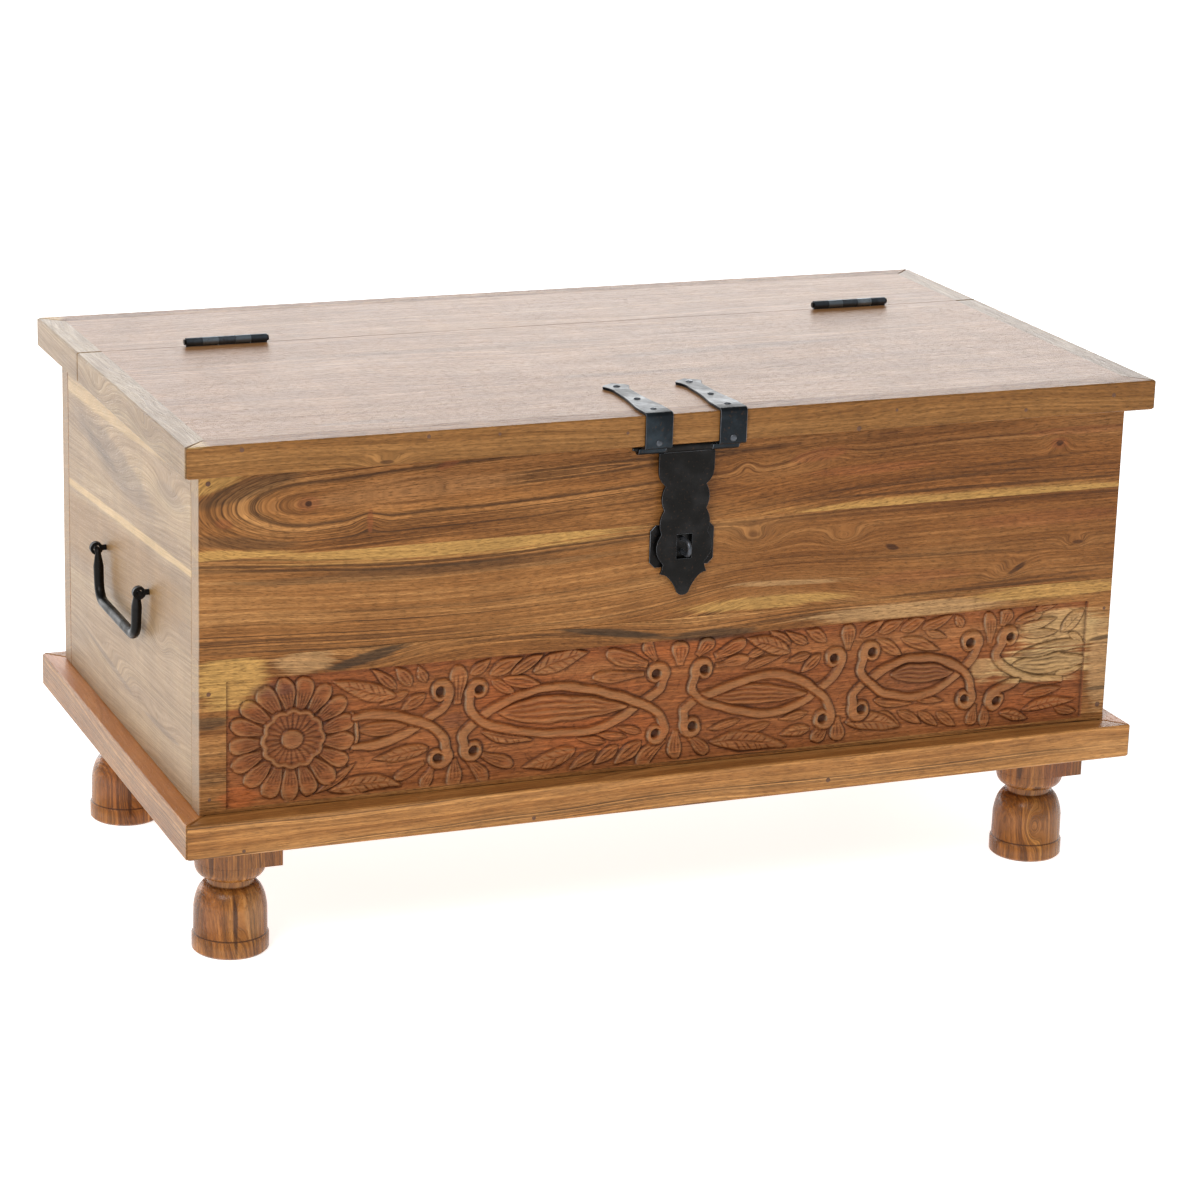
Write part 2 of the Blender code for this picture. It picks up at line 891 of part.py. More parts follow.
for side_name, side_sign, boards in (("left", -1, left_boards), ("right", 1, right_boards)):
    axis_x = side_sign * bail_axis_x
    points, radii = bail_path(axis_x)
    bail = tube("bail_" + side_name, points, radii, (1, 0, 0), round_sides // 2, iron)
    ride(pivot("bail_pivot_" + side_name, (axis_x, middle_y, bail_height)), bail)
    for end_name, end_sign in (("front", -1), ("back", 1)):
        tag = side_name + "_" + end_name
        eye_y = middle_y + end_sign * bail_eye_span / 2
        shank_end = side_sign * (body_right - eye_shank_depth)
        eye = rod(
            "bail_eye_" + tag,
            (axis_x, eye_y - eye_width / 2, bail_height),
            (axis_x, eye_y + eye_width / 2, bail_height),
            eye_ring_radius,
            round_sides,
            iron,
        )
        shank = rod(
            "join_shank_" + tag,
            (axis_x - side_sign * (eye_ring_radius + eye_bore_radius) / 2, eye_y, bail_height),
            (shank_end, eye_y, bail_height),
            eye_shank_radius,
            round_sides,
        )
        combine(eye, shank, "UNION")
        eye_bore = rod(
            "cut_eye_bore_" + tag,
            (axis_x, eye_y - eye_width, bail_height),
            (axis_x, eye_y + eye_width, bail_height),
            eye_bore_radius,
            round_sides,
        )
        combine(eye, eye_bore, "DIFFERENCE")
        shank_hole = rod(
            "cut_shank_" + tag,
            (side_sign * (body_right + eye_shank_radius), eye_y, bail_height),
            (shank_end - side_sign * touch_gap, eye_y, bail_height),
            eye_shank_radius + touch_gap,
            round_sides,
        )
        for board in boards:
            combine(board, shank_hole, "DIFFERENCE")
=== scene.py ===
"""Looks of the carved wooden chest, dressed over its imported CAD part. Lengths are in metres.

The lists of the carving and of the wood's figure are in millimetres, in the frame's own axes.
"""

import json
import math

import bmesh
import bpy
import numpy as np
from mathutils import Matrix, Vector

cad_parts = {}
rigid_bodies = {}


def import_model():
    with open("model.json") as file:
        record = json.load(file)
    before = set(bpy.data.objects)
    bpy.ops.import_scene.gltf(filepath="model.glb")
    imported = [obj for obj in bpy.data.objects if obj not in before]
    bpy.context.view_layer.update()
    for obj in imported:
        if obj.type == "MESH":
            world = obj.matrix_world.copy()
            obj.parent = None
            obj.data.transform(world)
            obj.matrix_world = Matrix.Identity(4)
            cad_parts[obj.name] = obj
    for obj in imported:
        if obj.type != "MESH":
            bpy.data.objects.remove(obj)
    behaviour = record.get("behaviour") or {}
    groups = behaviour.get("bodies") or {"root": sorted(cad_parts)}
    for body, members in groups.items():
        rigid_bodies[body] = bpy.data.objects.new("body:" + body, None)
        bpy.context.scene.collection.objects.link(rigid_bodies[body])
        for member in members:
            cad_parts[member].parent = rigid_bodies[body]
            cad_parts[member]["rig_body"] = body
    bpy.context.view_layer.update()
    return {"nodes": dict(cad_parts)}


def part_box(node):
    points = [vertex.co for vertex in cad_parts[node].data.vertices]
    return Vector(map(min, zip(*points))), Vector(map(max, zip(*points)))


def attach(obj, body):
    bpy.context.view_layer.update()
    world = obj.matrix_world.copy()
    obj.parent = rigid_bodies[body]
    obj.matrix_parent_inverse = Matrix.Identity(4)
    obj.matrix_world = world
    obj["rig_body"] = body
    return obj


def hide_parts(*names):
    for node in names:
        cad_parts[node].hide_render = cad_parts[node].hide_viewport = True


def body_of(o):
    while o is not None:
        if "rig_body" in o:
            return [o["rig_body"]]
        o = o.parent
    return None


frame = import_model()
nodes = frame["nodes"]
mm = 0.001
natural_base_inverse = math.exp(-1.0)


def tint(red, green, blue):
    """A colour picked on the usual 0 to 255 scale, as the shader takes it."""
    shares = []
    for value in (red, green, blue):
        share = value / 255.0
        if share <= 0.04045:
            shares.append(share / 12.92)
        else:
            shares.append(((share + 0.055) / 1.055) ** 2.4)
    return (shares[0], shares[1], shares[2], 1.0)


# Node trees for the finishes

class Finish:
    """One material, with a short call for each kind of node that the finishes use."""

    def __init__(self, name):
        self.material = bpy.data.materials.new(name)
        self.material.use_nodes = True
        self.tree = self.material.node_tree
        self.shader = self.tree.nodes["Principled BSDF"]

    def add(self, kind):
        return self.tree.nodes.new(kind)

    def join(self, socket, value):
        """Links a node's output to the socket, or sets the socket to a plain number or colour."""
        if isinstance(value, bpy.types.NodeSocket):
            self.tree.links.new(value, socket)
        else:
            socket.default_value = value

    def place(self):
        """The three coordinates of the piece's own frame."""
        coordinates = self.add("ShaderNodeTexCoord")
        split = self.add("ShaderNodeSeparateXYZ")
        self.tree.links.new(coordinates.outputs["Object"], split.inputs[0])
        return {"x": split.outputs[0], "y": split.outputs[1], "z": split.outputs[2]}

    def facing(self, axis):
        """How far the surface faces along an axis of the piece's own frame."""
        coordinates = self.add("ShaderNodeTexCoord")
        split = self.add("ShaderNodeSeparateXYZ")
        self.tree.links.new(coordinates.outputs["Normal"], split.inputs[0])
        return self.sum("ABSOLUTE", split.outputs["xyz".index(axis)])

    def sum(self, operation, first, second=0.0, third=0.0):
        node = self.add("ShaderNodeMath")
        node.operation = operation
        self.join(node.inputs[0], first)
        self.join(node.inputs[1], second)
        self.join(node.inputs[2], third)
        return node.outputs[0]

    def scaled(self, value, factor, offset=0.0):
        return self.sum("MULTIPLY_ADD", value, factor, offset)

    def vector(self, first, second, third):
        node = self.add("ShaderNodeCombineXYZ")
        self.join(node.inputs[0], first)
        self.join(node.inputs[1], second)
        self.join(node.inputs[2], third)
        return node.outputs[0]

    def noise(self, place, scale=1.0, detail=2.0, roughness=0.5, dimensions="3D"):
        """Noise at a place, or along a single number where the dimensions are 1D."""
        node = self.add("ShaderNodeTexNoise")
        node.noise_dimensions = dimensions
        self.join(node.inputs["W" if dimensions == "1D" else "Vector"], place)
        node.inputs["Scale"].default_value = scale
        node.inputs["Detail"].default_value = detail
        node.inputs["Roughness"].default_value = roughness
        return node.outputs[0]

    def span(self, value, low, high, start=0.0, end=1.0):
        """The value eased from start to end while it goes from low to high."""
        node = self.add("ShaderNodeMapRange")
        node.interpolation_type = "SMOOTHSTEP"
        self.join(node.inputs[0], value)
        node.inputs[1].default_value = low
        node.inputs[2].default_value = high
        node.inputs[3].default_value = start
        node.inputs[4].default_value = end
        return node.outputs[0]

    def mix(self, share, first, second, blend="MIX"):
        node = self.add("ShaderNodeMix")
        node.data_type = "RGBA"
        node.blend_type = blend
        self.join(node.inputs[0], share)
        self.join(node.inputs[6], first)
        self.join(node.inputs[7], second)
        return node.outputs[2]

    def ramp(self, share, stops):
        node = self.add("ShaderNodeValToRGB")
        self.join(node.inputs[0], share)
        keys = node.color_ramp.elements
        while len(keys) < len(stops):
            keys.new(1.0)
        for key, (position, colour) in zip(keys, stops):
            key.position = position
            key.color = colour
        return node.outputs[0]

    def attribute(self, name):
        node = self.add("ShaderNodeAttribute")
        node.attribute_name = name
        return node.outputs["Fac"]

    def bump(self, height, depth):
        node = self.add("ShaderNodeBump")
        node.inputs["Strength"].default_value = 1.0
        node.inputs["Distance"].default_value = depth
        self.join(node.inputs["Height"], height)
        self.tree.links.new(node.outputs[0], self.shader.inputs["Normal"])

    def swell(self, along, across, spot):
        """A soft hill, 1 at the spot and fading out over its two widths, tilted by its slope if any."""
        along_at, across_at, along_width, across_width = [size * mm for size in spot[:4]]
        slope = spot[4] if len(spot) > 4 else 0.0
        first = self.scaled(along, 1.0 / along_width, -along_at / along_width)
        level = across
        if slope:
            level = self.scaled(along, -slope, slope * along_at)
            level = self.sum("ADD", level, across)
        second = self.scaled(level, 1.0 / across_width, -across_at / across_width)
        squares = self.sum("MULTIPLY", first, first)
        squares = self.sum("MULTIPLY_ADD", second, second, squares)
        return self.sum("POWER", natural_base_inverse, squares)

    def set(self, **numbers):
        for name, value in numbers.items():
            self.shader.inputs[name.replace("_", " ")].default_value = value


# Wood

def dimmed(browns, share):
    """A palette with every colour turned down to a share of its light."""
    turned_down = []
    for position, colour in browns:
        turned_down.append((position, tuple(value * share for value in colour[:3]) + (1.0,)))
    return turned_down


palette_stops = (0.20, 0.37, 0.50, 0.63, 0.80)


def palette(*colours):
    """Browns from dark to pale, each at its own tone of the grain."""
    return [(stop, tint(*colour)) for stop, colour in zip(palette_stops, colours)]


honey_browns = palette((78, 45, 20), (122, 76, 36), (149, 99, 52), (170, 121, 70), (198, 154, 100))
edge_browns = palette((94, 58, 28), (124, 81, 40), (138, 94, 49), (150, 106, 59), (172, 128, 78))
plinth_browns = palette((98, 60, 28), (150, 98, 48), (174, 121, 66), (188, 136, 80), (206, 160, 104))
lid_browns = palette((104, 68, 40), (138, 95, 56), (153, 108, 66), (166, 122, 80), (186, 146, 100))
side_browns = palette((86, 62, 42), (128, 100, 70), (156, 126, 90), (178, 150, 110), (204, 178, 134))
foot_browns = palette((62, 36, 16), (120, 73, 33), (150, 96, 45), (168, 114, 56), (194, 142, 78))
sapwood = tint(184, 141, 78)
cream = tint(178, 138, 92)
grey_heart = tint(66, 50, 34)
dull_brown = tint(114, 65, 26)
knot_brown = tint(58, 32, 18)
streak_brown = tint(56, 34, 18)
cut_brown = tint(54, 27, 13)
carved_red = tint(146, 76, 38)
wear_highlight_tan = tint(166, 122, 80)
orange_brown = tint(172, 92, 44)
violet_brown = tint(92, 56, 44)
rosette_brown = tint(102, 54, 28)
red_brown = tint(140, 80, 45)
heart_brown = tint(160, 110, 64)
side_grey = tint(112, 92, 74)
side_cream = tint(206, 172, 118)
golden_tan = tint(142, 104, 54)
ledge_orange = tint(206, 124, 58)
end_grey = tint(166, 144, 118)

# How much of each part of the grain there is to the metre: along the grain, across it and through the board
slow_rates = (1.7, 6.0, 5.0)
quick_rates = (7.0, 34.0, 20.0)
fibre_rates = (16.0, 640.0, 320.0)
pore_rates = (150.0, 1150.0, 575.0)
blotch_rates = (5.0, 22.0, 16.0)
ripple_rates = (46.0, 16.0, 20.0)
dash_rates = (124.0, 620.0, 310.0)
broad_rings = 42.0
ring_slant = 0.3
ring_shake = 0.006
heart_softness = 0.000004

# What each part counts for in the tone, and in the light and dark laid over it
broad_share = 0.38
narrow_share = 0.24
blotch_share = 0.42
fibre_share = 0.26
mean_tone = (broad_share + narrow_share + blotch_share + fibre_share) / 2.0
ring_glow = 0.09
fibre_dark = 0.22
fibre_light = 0.20
ripple_glow = 0.05
dash_dark = 0.20
dash_light = 0.16
pore_dark = 0.40

# Where the noise lies that each part of the grain is read from
usual_noise = (0.3, 0.7)
fibre_noise = (0.25, 0.75)
whole_noise = (0.2, 0.8)
pore_start = 0.56
pore_full = 0.70

# Dark lines between rings, and how the grain frays a patch
line_width = 0.045
line_blotch = -0.7
line_start = 0.02
line_full = 0.26
fray_by_fibre = 0.50
fray_by_ring = 0.70
patch_start = 0.30
patch_full = 0.64
face_start = 0.6
face_full = 0.9
end_grain_share = 0.7
carved_share = 0.58
carved_calm = 0.75
wear_highlight_share = 0.46
stain_and_shade_mix = 0.85
grain_relief = 0.00022
pore_relief = -0.8


def board_rings(finish, along, across, tilt, heart):
    """How far each point lies across the rings, or from a cathedral figure's tip where there is one."""
    if heart is None:
        return finish.sum("MULTIPLY_ADD", along, tilt, across)
    heart_along = heart[0] * mm
    heart_across = heart[1] * mm
    sharpness = heart[2]
    before = finish.scaled(along, -sharpness, sharpness * heart_along)
    before = finish.sum("MAXIMUM", before, 0.0)
    after = finish.sum("MAXIMUM", finish.scaled(along, 1.0, -heart_along), 0.0)
    beside = finish.scaled(across, 1.0, -heart_across)
    beside = finish.sum("MULTIPLY_ADD", after, tilt, beside)
    squares = finish.sum("MULTIPLY", before, before)
    squares = finish.sum("MULTIPLY_ADD", beside, beside, squares)
    return finish.sum("SQRT", finish.sum("ADD", squares, heart_softness))


def figured_wood(name, axes, browns, shift, sway=0.045, tilt=0.0, heart=None, bends=(), patches=(),
                 streaks=0.8, contrast=1.0, gloss=(0.44, 0.33), specular=0.16,
                 rings=230.0, fine=1.0, dashes=1.0, feather=1.0, end_grain=None, ledge=None, carved=False):
    """Lacquered wood whose rings, fibres and pores follow one bent field, so a figure carries them all.

    axes names the directions along the grain, across it and through the board. heart is the tip of a
    cathedral figure: its place along and across, and how pointed it is, and tilt slants the rings
    beyond it, or those of a board that has none. Each bend moves the rings at a spot, and each patch
    colours one. rings is how many narrow rings there are to the metre, fine their strength, dashes that
    of the short dark dashes, feather how far the fibres fray a patch, end_grain the colour of the faces
    across the grain, and ledge the colour of the faces that look up, with its strength: painted shade
    on the plinth's front ledge and painted light on the tops of its ends.
    """
    finish = Finish(name)
    place = finish.place()
    along = place[axes[0]]
    across = place[axes[1]]
    deep = place[axes[2]]

    def grain(level, rates, detail, roughness=0.5, starts=(1.0, 0.0, 0.0)):
        """Noise stretched along the grain. Its start each way is a multiple of the board's shift."""
        ways = []
        for way, rate, start in zip((along, level, deep), rates, starts):
            ways.append(finish.scaled(way, rate, shift * start))
        return finish.noise(finish.vector(*ways), detail=detail, roughness=roughness)

    slow = grain(across, slow_rates, 1.0, starts=(1.0, 0.7, 1.3))
    quick = grain(across, quick_rates, 2.0, starts=(1.9, 1.0, 0.0))

    ring = board_rings(finish, along, across, tilt, heart)
    ring = finish.sum("MULTIPLY_ADD", deep, ring_slant, ring)
    ring = finish.sum("MULTIPLY_ADD", slow, sway, ring)
    ring = finish.sum("MULTIPLY_ADD", quick, ring_shake, ring)
    for spot, lift in bends:
        ring = finish.sum("MULTIPLY_ADD", finish.swell(along, across, spot), lift * mm, ring)

    broad = finish.noise(finish.scaled(ring, broad_rings, shift), detail=2.0, dimensions="1D")
    narrow_at = finish.scaled(ring, rings, shift * 2.0)
    narrow = finish.noise(narrow_at, detail=3.0, roughness=0.65, dimensions="1D")
    fibre = grain(ring, fibre_rates, 3.0, 0.65)
    pore = finish.span(grain(ring, pore_rates, 1.0), pore_start, pore_full)
    blotch = grain(ring, blotch_rates, 3.0, starts=(2.3, 0.0, 0.0))

    share = finish.scaled(broad, broad_share)
    share = finish.sum("MULTIPLY_ADD", finish.scaled(narrow, fine, 0.5 - 0.5 * fine), narrow_share, share)
    share = finish.sum("MULTIPLY_ADD", blotch, blotch_share, share)
    share = finish.sum("MULTIPLY_ADD", fibre, fibre_share, share)
    share = finish.scaled(share, contrast, 0.5 - mean_tone * contrast)
    colour = finish.ramp(share, browns)
    if carved:
        panel = finish.attribute("carved")
        colour = finish.mix(finish.sum("MULTIPLY", panel, carved_share), colour, carved_red)

    line_off = finish.sum("ABSOLUTE", finish.scaled(narrow, 1.0, -0.5))
    dark_line = finish.span(line_off, 0.0, line_width, 1.0, 0.0)
    line_where = finish.span(finish.sum("MULTIPLY_ADD", blotch, line_blotch, broad), line_start, line_full)
    streak = finish.sum("MULTIPLY", dark_line, line_where)
    streak = finish.sum("MULTIPLY", streak, streaks)
    if carved:
        streak = finish.sum("MULTIPLY", streak, finish.scaled(panel, -carved_calm, 1.0))
    colour = finish.mix(streak, colour, streak_brown)

    for spot, patch_colour, strength in patches:
        hill = finish.swell(along, across, spot)
        hill = finish.sum("MULTIPLY_ADD", finish.scaled(fibre, 1.0, -0.5), fray_by_fibre * feather, hill)
        hill = finish.sum("MULTIPLY_ADD", finish.scaled(narrow, 1.0, -0.5), fray_by_ring * feather, hill)
        cover = finish.span(hill, patch_start, patch_full, 0.0, strength)
        colour = finish.mix(cover, colour, patch_colour)

    ring_depth = ring_glow * contrast * fine
    dash_depth = contrast * dashes
    tone = finish.span(narrow, *usual_noise, 1.0 - ring_depth, 1.0 + ring_depth)
    glow = finish.span(fibre, *fibre_noise, 1.0 - fibre_dark * contrast, 1.0 + fibre_light * contrast)
    ripple = grain(ring, ripple_rates, 1.0, starts=(1.4, 0.0, 0.0))
    ripple = finish.span(ripple, *usual_noise, 1.0 - ripple_glow, 1.0 + ripple_glow)
    dash = grain(ring, dash_rates, 2.0, 0.6, starts=(0.6, 0.0, 0.0))
    dash = finish.span(dash, *usual_noise, 1.0 - dash_dark * dash_depth, 1.0 + dash_light * dash_depth)
    glow = finish.sum("MULTIPLY", glow, dash)
    glow = finish.sum("MULTIPLY", glow, finish.sum("MULTIPLY", tone, ripple))
    colour = finish.mix(1.0, colour, finish.vector(glow, glow, glow), "MULTIPLY")
    colour = finish.mix(finish.sum("MULTIPLY", pore, pore_dark * dash_depth), colour, streak_brown)

    # Faces that look up turned to the ledge colour: painted shade or painted light on those tops.
    if ledge:
        cover = finish.span(finish.facing("z"), face_start, face_full, 0.0, ledge[1])
        colour = finish.mix(cover, colour, ledge[0])
    if end_grain:
        cover = finish.span(finish.facing(axes[0]), face_start, face_full, 0.0, end_grain_share)
        colour = finish.mix(cover, colour, end_grain)
    if carved:
        # Tops and edges of the carving turned paler: wear, and painted highlight.
        wear_and_highlight = finish.attribute("wear_and_highlight")
        colour = finish.mix(finish.sum("MULTIPLY", wear_and_highlight, wear_highlight_share), colour, wear_highlight_tan)
        # The carving's cuts and drilled eyes turned dark: stain, and painted shade.
        stain_and_shade = finish.attribute("stain_and_shade")
        colour = finish.mix(finish.sum("MULTIPLY", stain_and_shade, stain_and_shade_mix), colour, cut_brown)

    finish.join(finish.shader.inputs["Base Color"], colour)
    finish.join(finish.shader.inputs["Roughness"], finish.span(fibre, *whole_noise, *gloss))
    finish.set(Specular_IOR_Level=specular)
    grain_height = finish.sum("MULTIPLY_ADD", pore, pore_relief, fibre)
    finish.bump(grain_height, grain_relief)
    return finish.material


# Iron and small fillings

rust_brown = tint(70, 52, 40)
cloud_scale = 38.0
pit_scale = 420.0
dent_scale = 75.0
pit_share = 0.25
iron_relief = 0.0006
filler_dark = tint(72, 44, 26)
filler_pale = tint(118, 78, 48)
crumb_scale = 900.0
crumb_relief = 0.0002


def blackened_iron(name, dark, wear_and_highlight, shift, gloss=(0.52, 0.34)):
    """Forged iron under a thin black finish, rubbed to grey in places and pitted."""
    finish = Finish(name)
    place = finish.place()
    spot = finish.vector(finish.scaled(place["x"], 1.0, shift), place["y"], place["z"])
    cloud = finish.noise(spot, cloud_scale, 4.0, 0.6)
    pit = finish.noise(spot, pit_scale, 2.0)
    dent = finish.noise(spot, dent_scale, 1.0)
    rub_and_highlight = finish.span(cloud, 0.42, 0.72)
    colour = finish.mix(rub_and_highlight, dark, wear_and_highlight)
    speck = finish.span(pit, 0.60, 0.74, 0.0, 0.5)
    colour = finish.mix(speck, colour, rust_brown)
    finish.join(finish.shader.inputs["Base Color"], colour)
    finish.join(finish.shader.inputs["Roughness"], finish.span(cloud, *usual_noise, *gloss))
    finish.set(Metallic=0.85, Specular_IOR_Level=0.5)
    height = finish.sum("MULTIPLY_ADD", pit, pit_share, dent)
    finish.bump(height, iron_relief)
    return finish.material


def wood_filler(name):
    """The dark paste that fills a sunk nail's hole."""
    finish = Finish(name)
    place = finish.place()
    spot = finish.vector(place["x"], place["y"], place["z"])
    crumb = finish.noise(spot, crumb_scale, 3.0)
    finish.join(finish.shader.inputs["Base Color"], finish.mix(crumb, filler_dark, filler_pale))
    finish.set(Roughness=0.55)
    finish.bump(crumb, crumb_relief)
    return finish.material


# Carving, as heights in millimetres below the board's face

panel_low = (-409.0, 148.0)
panel_high = (409.0, 260.4)
panel_depth = 3.4
panel_pitch = 0.6
panel_most_triangles = 188000
pattern_lift = 0.9
pattern_fall = 2.0
pattern_bow = 7.2
pattern_wander = 0.6
pattern_spare = 3.0
fall_start = -60.0
fall_length = 150.0
wander_width = 6.0
line_stain_and_shade_width = 1.1
rib_width = 1.0
rib_depth = 1.3
vein_spacing = 6.6
moat_floor = 0.8
stroke_count = 900
stroke_margin = (6.0, 5.0)
stroke_lean = 0.6
stroke_length = (5.0, 11.0)
stroke_width = 1.1
stroke_depth = 0.45
ground_spare = 0.3
tool_marks = 0.22
tool_mark_width = 1.6
carving_softness = 0.45
deepest_cut = -6.0
eye_depth = 4.4


def ease(share):
    share = np.clip(share, 0.0, 1.0)
    return share * share * (3.0 - 2.0 * share)


def smooth_path(points, step=0.8):
    """A Catmull-Rom path through the points, with a point every step or so."""
    points = np.array(points, float)
    ends = np.vstack([2 * points[0] - points[1], points, 2 * points[-1] - points[-2]])
    line = []
    for number in range(1, len(ends) - 2):
        before, start, end, after = ends[number - 1:number + 3]
        count = max(2, int(np.linalg.norm(end - start) / step))
        for share in np.arange(count) / count:
            line.append(0.5 * (
                2 * start
                + (end - before) * share
                + (2 * before - 5 * start + 4 * end - after) * share ** 2
                + (3 * start - before - 3 * end + after) * share ** 3
            ))
    line.append(points[-1])
    return np.array(line)


class Relief:
    """The carved panel as a grid of heights. A shape cut later lies over the earlier ones."""

    def __init__(self):
        count_x = round((panel_high[0] - panel_low[0]) / panel_pitch) + 1
        count_z = round((panel_high[1] - panel_low[1]) / panel_pitch) + 1
        self.x = np.linspace(panel_low[0], panel_high[0], count_x)
        self.z = np.linspace(panel_low[1], panel_high[1], count_z)
        self.grid_x, self.grid_z = np.meshgrid(self.x, self.z, indexing="ij")
        self.height = np.full(self.grid_x.shape, -panel_depth)
        self.line_stain_and_shade = np.zeros(self.grid_x.shape)
        self.drilled = np.zeros(self.grid_x.shape)
        draws = np.random.default_rng(5)
        side = self.grid_x / panel_high[0]
        fall = pattern_fall * np.clip((fall_start - self.grid_x) / fall_length, 0.0, 1.0)
        self.list_x = self.grid_x - pattern_bow * (1.0 + 0.1 * side - 0.9 * side ** 2)
        self.list_z = self.grid_z - pattern_lift + fall
        self.list_x = self.list_x + pattern_wander * cloud(draws, self.grid_x.shape, wander_width)
        self.list_z = self.list_z + pattern_wander * cloud(draws, self.grid_x.shape, wander_width)

    def window(self, low, high):
        """The part of the grid between two corners, and its coordinates in the pattern's own lists.

        The pattern's middle lies a little to the right of the lists, and its left end lower. Its lines
        wander as those of handwork do.
        """
        first_x = np.searchsorted(self.x, low[0] - pattern_spare)
        first_z = np.searchsorted(self.z, low[1] - pattern_spare)
        last_x = np.searchsorted(self.x, high[0] + pattern_spare + pattern_bow)
        last_z = np.searchsorted(self.z, high[1] + pattern_spare)
        part = (slice(first_x, last_x), slice(first_z, last_z))
        return part, self.list_x[part], self.list_z[part]

    def round_window(self, centre, reach):
        """The part of the grid about a centre, and how far each of its points lies from there."""
        centre = np.array(centre, float)
        part, x, z = self.window(centre - reach, centre + reach)
        return part, np.hypot(x - centre[0], z - centre[1])

    def cut(self, part, distance, top, wall=1.5, moat=1.5, moat_depth=0.8, keep=None, lines=0.0):
        """Leaves a raised shape standing, with a rounded wall and a cut line round it.

        Dark stain and painted shade are laid in that line, and in the lines cut into the shape itself.
        """
        old = self.height[part]
        old_line_stain_and_shade = self.line_stain_and_shade[part]
        line_stain_and_shade = np.clip(1.0 - np.abs(distance - 0.3) / line_stain_and_shade_width, 0.0, 1.0)
        line_stain_and_shade = np.where(distance < 0.0, np.maximum(line_stain_and_shade, lines), np.maximum(line_stain_and_shade, old_line_stain_and_shade))
        inside = -panel_depth + (top + panel_depth) * ease(-distance / wall)
        outside = old - moat_depth * np.clip(1.0 - distance / moat, 0.0, 1.0)
        outside = np.maximum(outside, -panel_depth - moat_floor)
        new = np.where(distance < 0.0, inside, outside)
        if keep is not None:
            new = np.where(keep, old, new)
            line_stain_and_shade = np.where(keep, old_line_stain_and_shade, line_stain_and_shade)
        self.height[part] = new
        self.line_stain_and_shade[part] = line_stain_and_shade

    def gouge(self, start, end, width, depth):
        """A tapering V cut from start to end, darkened along it with stain and painted shade."""
        start = np.array(start, float)
        end = np.array(end, float)
        margin = width + 1.0
        part, x, z = self.window(np.minimum(start, end) - margin, np.maximum(start, end) + margin)
        length = np.linalg.norm(end - start)
        direction = (end - start) / length
        along = (x - start[0]) * direction[0] + (z - start[1]) * direction[1]
        along = np.clip(along, 0.0, length)
        off = np.hypot(x - start[0] - along * direction[0], z - start[1] - along * direction[1])
        taper = np.sqrt(np.clip(1.0 - (2.0 * along / length - 1.0) ** 2, 0.05, 1.0))
        groove = np.clip(1.0 - off / (width * taper), 0.0, 1.0)
        self.height[part] -= depth * groove
        self.line_stain_and_shade[part] = np.maximum(self.line_stain_and_shade[part], groove * min(1.0, depth))

    def rough_ground(self, draws):
        """Short strokes of the gouge where the ground was cleared."""
        for number in range(stroke_count):
            x = draws.uniform(panel_low[0] + stroke_margin[0], panel_high[0] - stroke_margin[0])
            z = draws.uniform(panel_low[1] + stroke_margin[1], panel_high[1] - stroke_margin[1])
            angle = draws.normal(0.0, stroke_lean)
            length = draws.uniform(*stroke_length)
            here = self.height[np.searchsorted(self.x, x), np.searchsorted(self.z, z)]
            if here > -panel_depth + ground_spare:
                continue
            way = np.array((math.cos(angle), math.sin(angle))) * length / 2.0
            middle = np.array((x - pattern_bow, z - pattern_lift))
            self.gouge(middle - way, middle + way, stroke_width, stroke_depth)

    def band(self, path, width, top=-0.1, crown=1.1, first=0):
        """A rounded strap of the scrollwork.

        The share of it before first stays as it is, where another strap lies over it.
        """
        line = smooth_path(path)
        shares = np.linspace(0.0, 1.0, len(line))
        half = np.interp(shares, (0.0, 0.12, 0.5, 0.88, 1.0), np.array(width) / 2.0)
        start = int(first * (len(line) - 1))
        line = line[start:]
        half = half[start:]
        margin = half.max() + 3.0
        part, x, z = self.window(line.min(0) - margin, line.max(0) + margin)
        distance = np.full(x.shape, 1e9)
        share = np.zeros(x.shape)
        nearest = np.zeros(x.shape, int)
        for number, (point, reach) in enumerate(zip(line, half)):
            off = np.hypot(x - point[0], z - point[1])
            closer = off - reach < distance
            distance = np.where(closer, off - reach, distance)
            share = np.where(closer, off / reach, share)
            nearest = np.where(closer, number, nearest)
        keep = nearest == 0 if first else None
        self.cut(part, distance, top - crown * np.clip(share, 0.0, 1.0) ** 2, keep=keep)

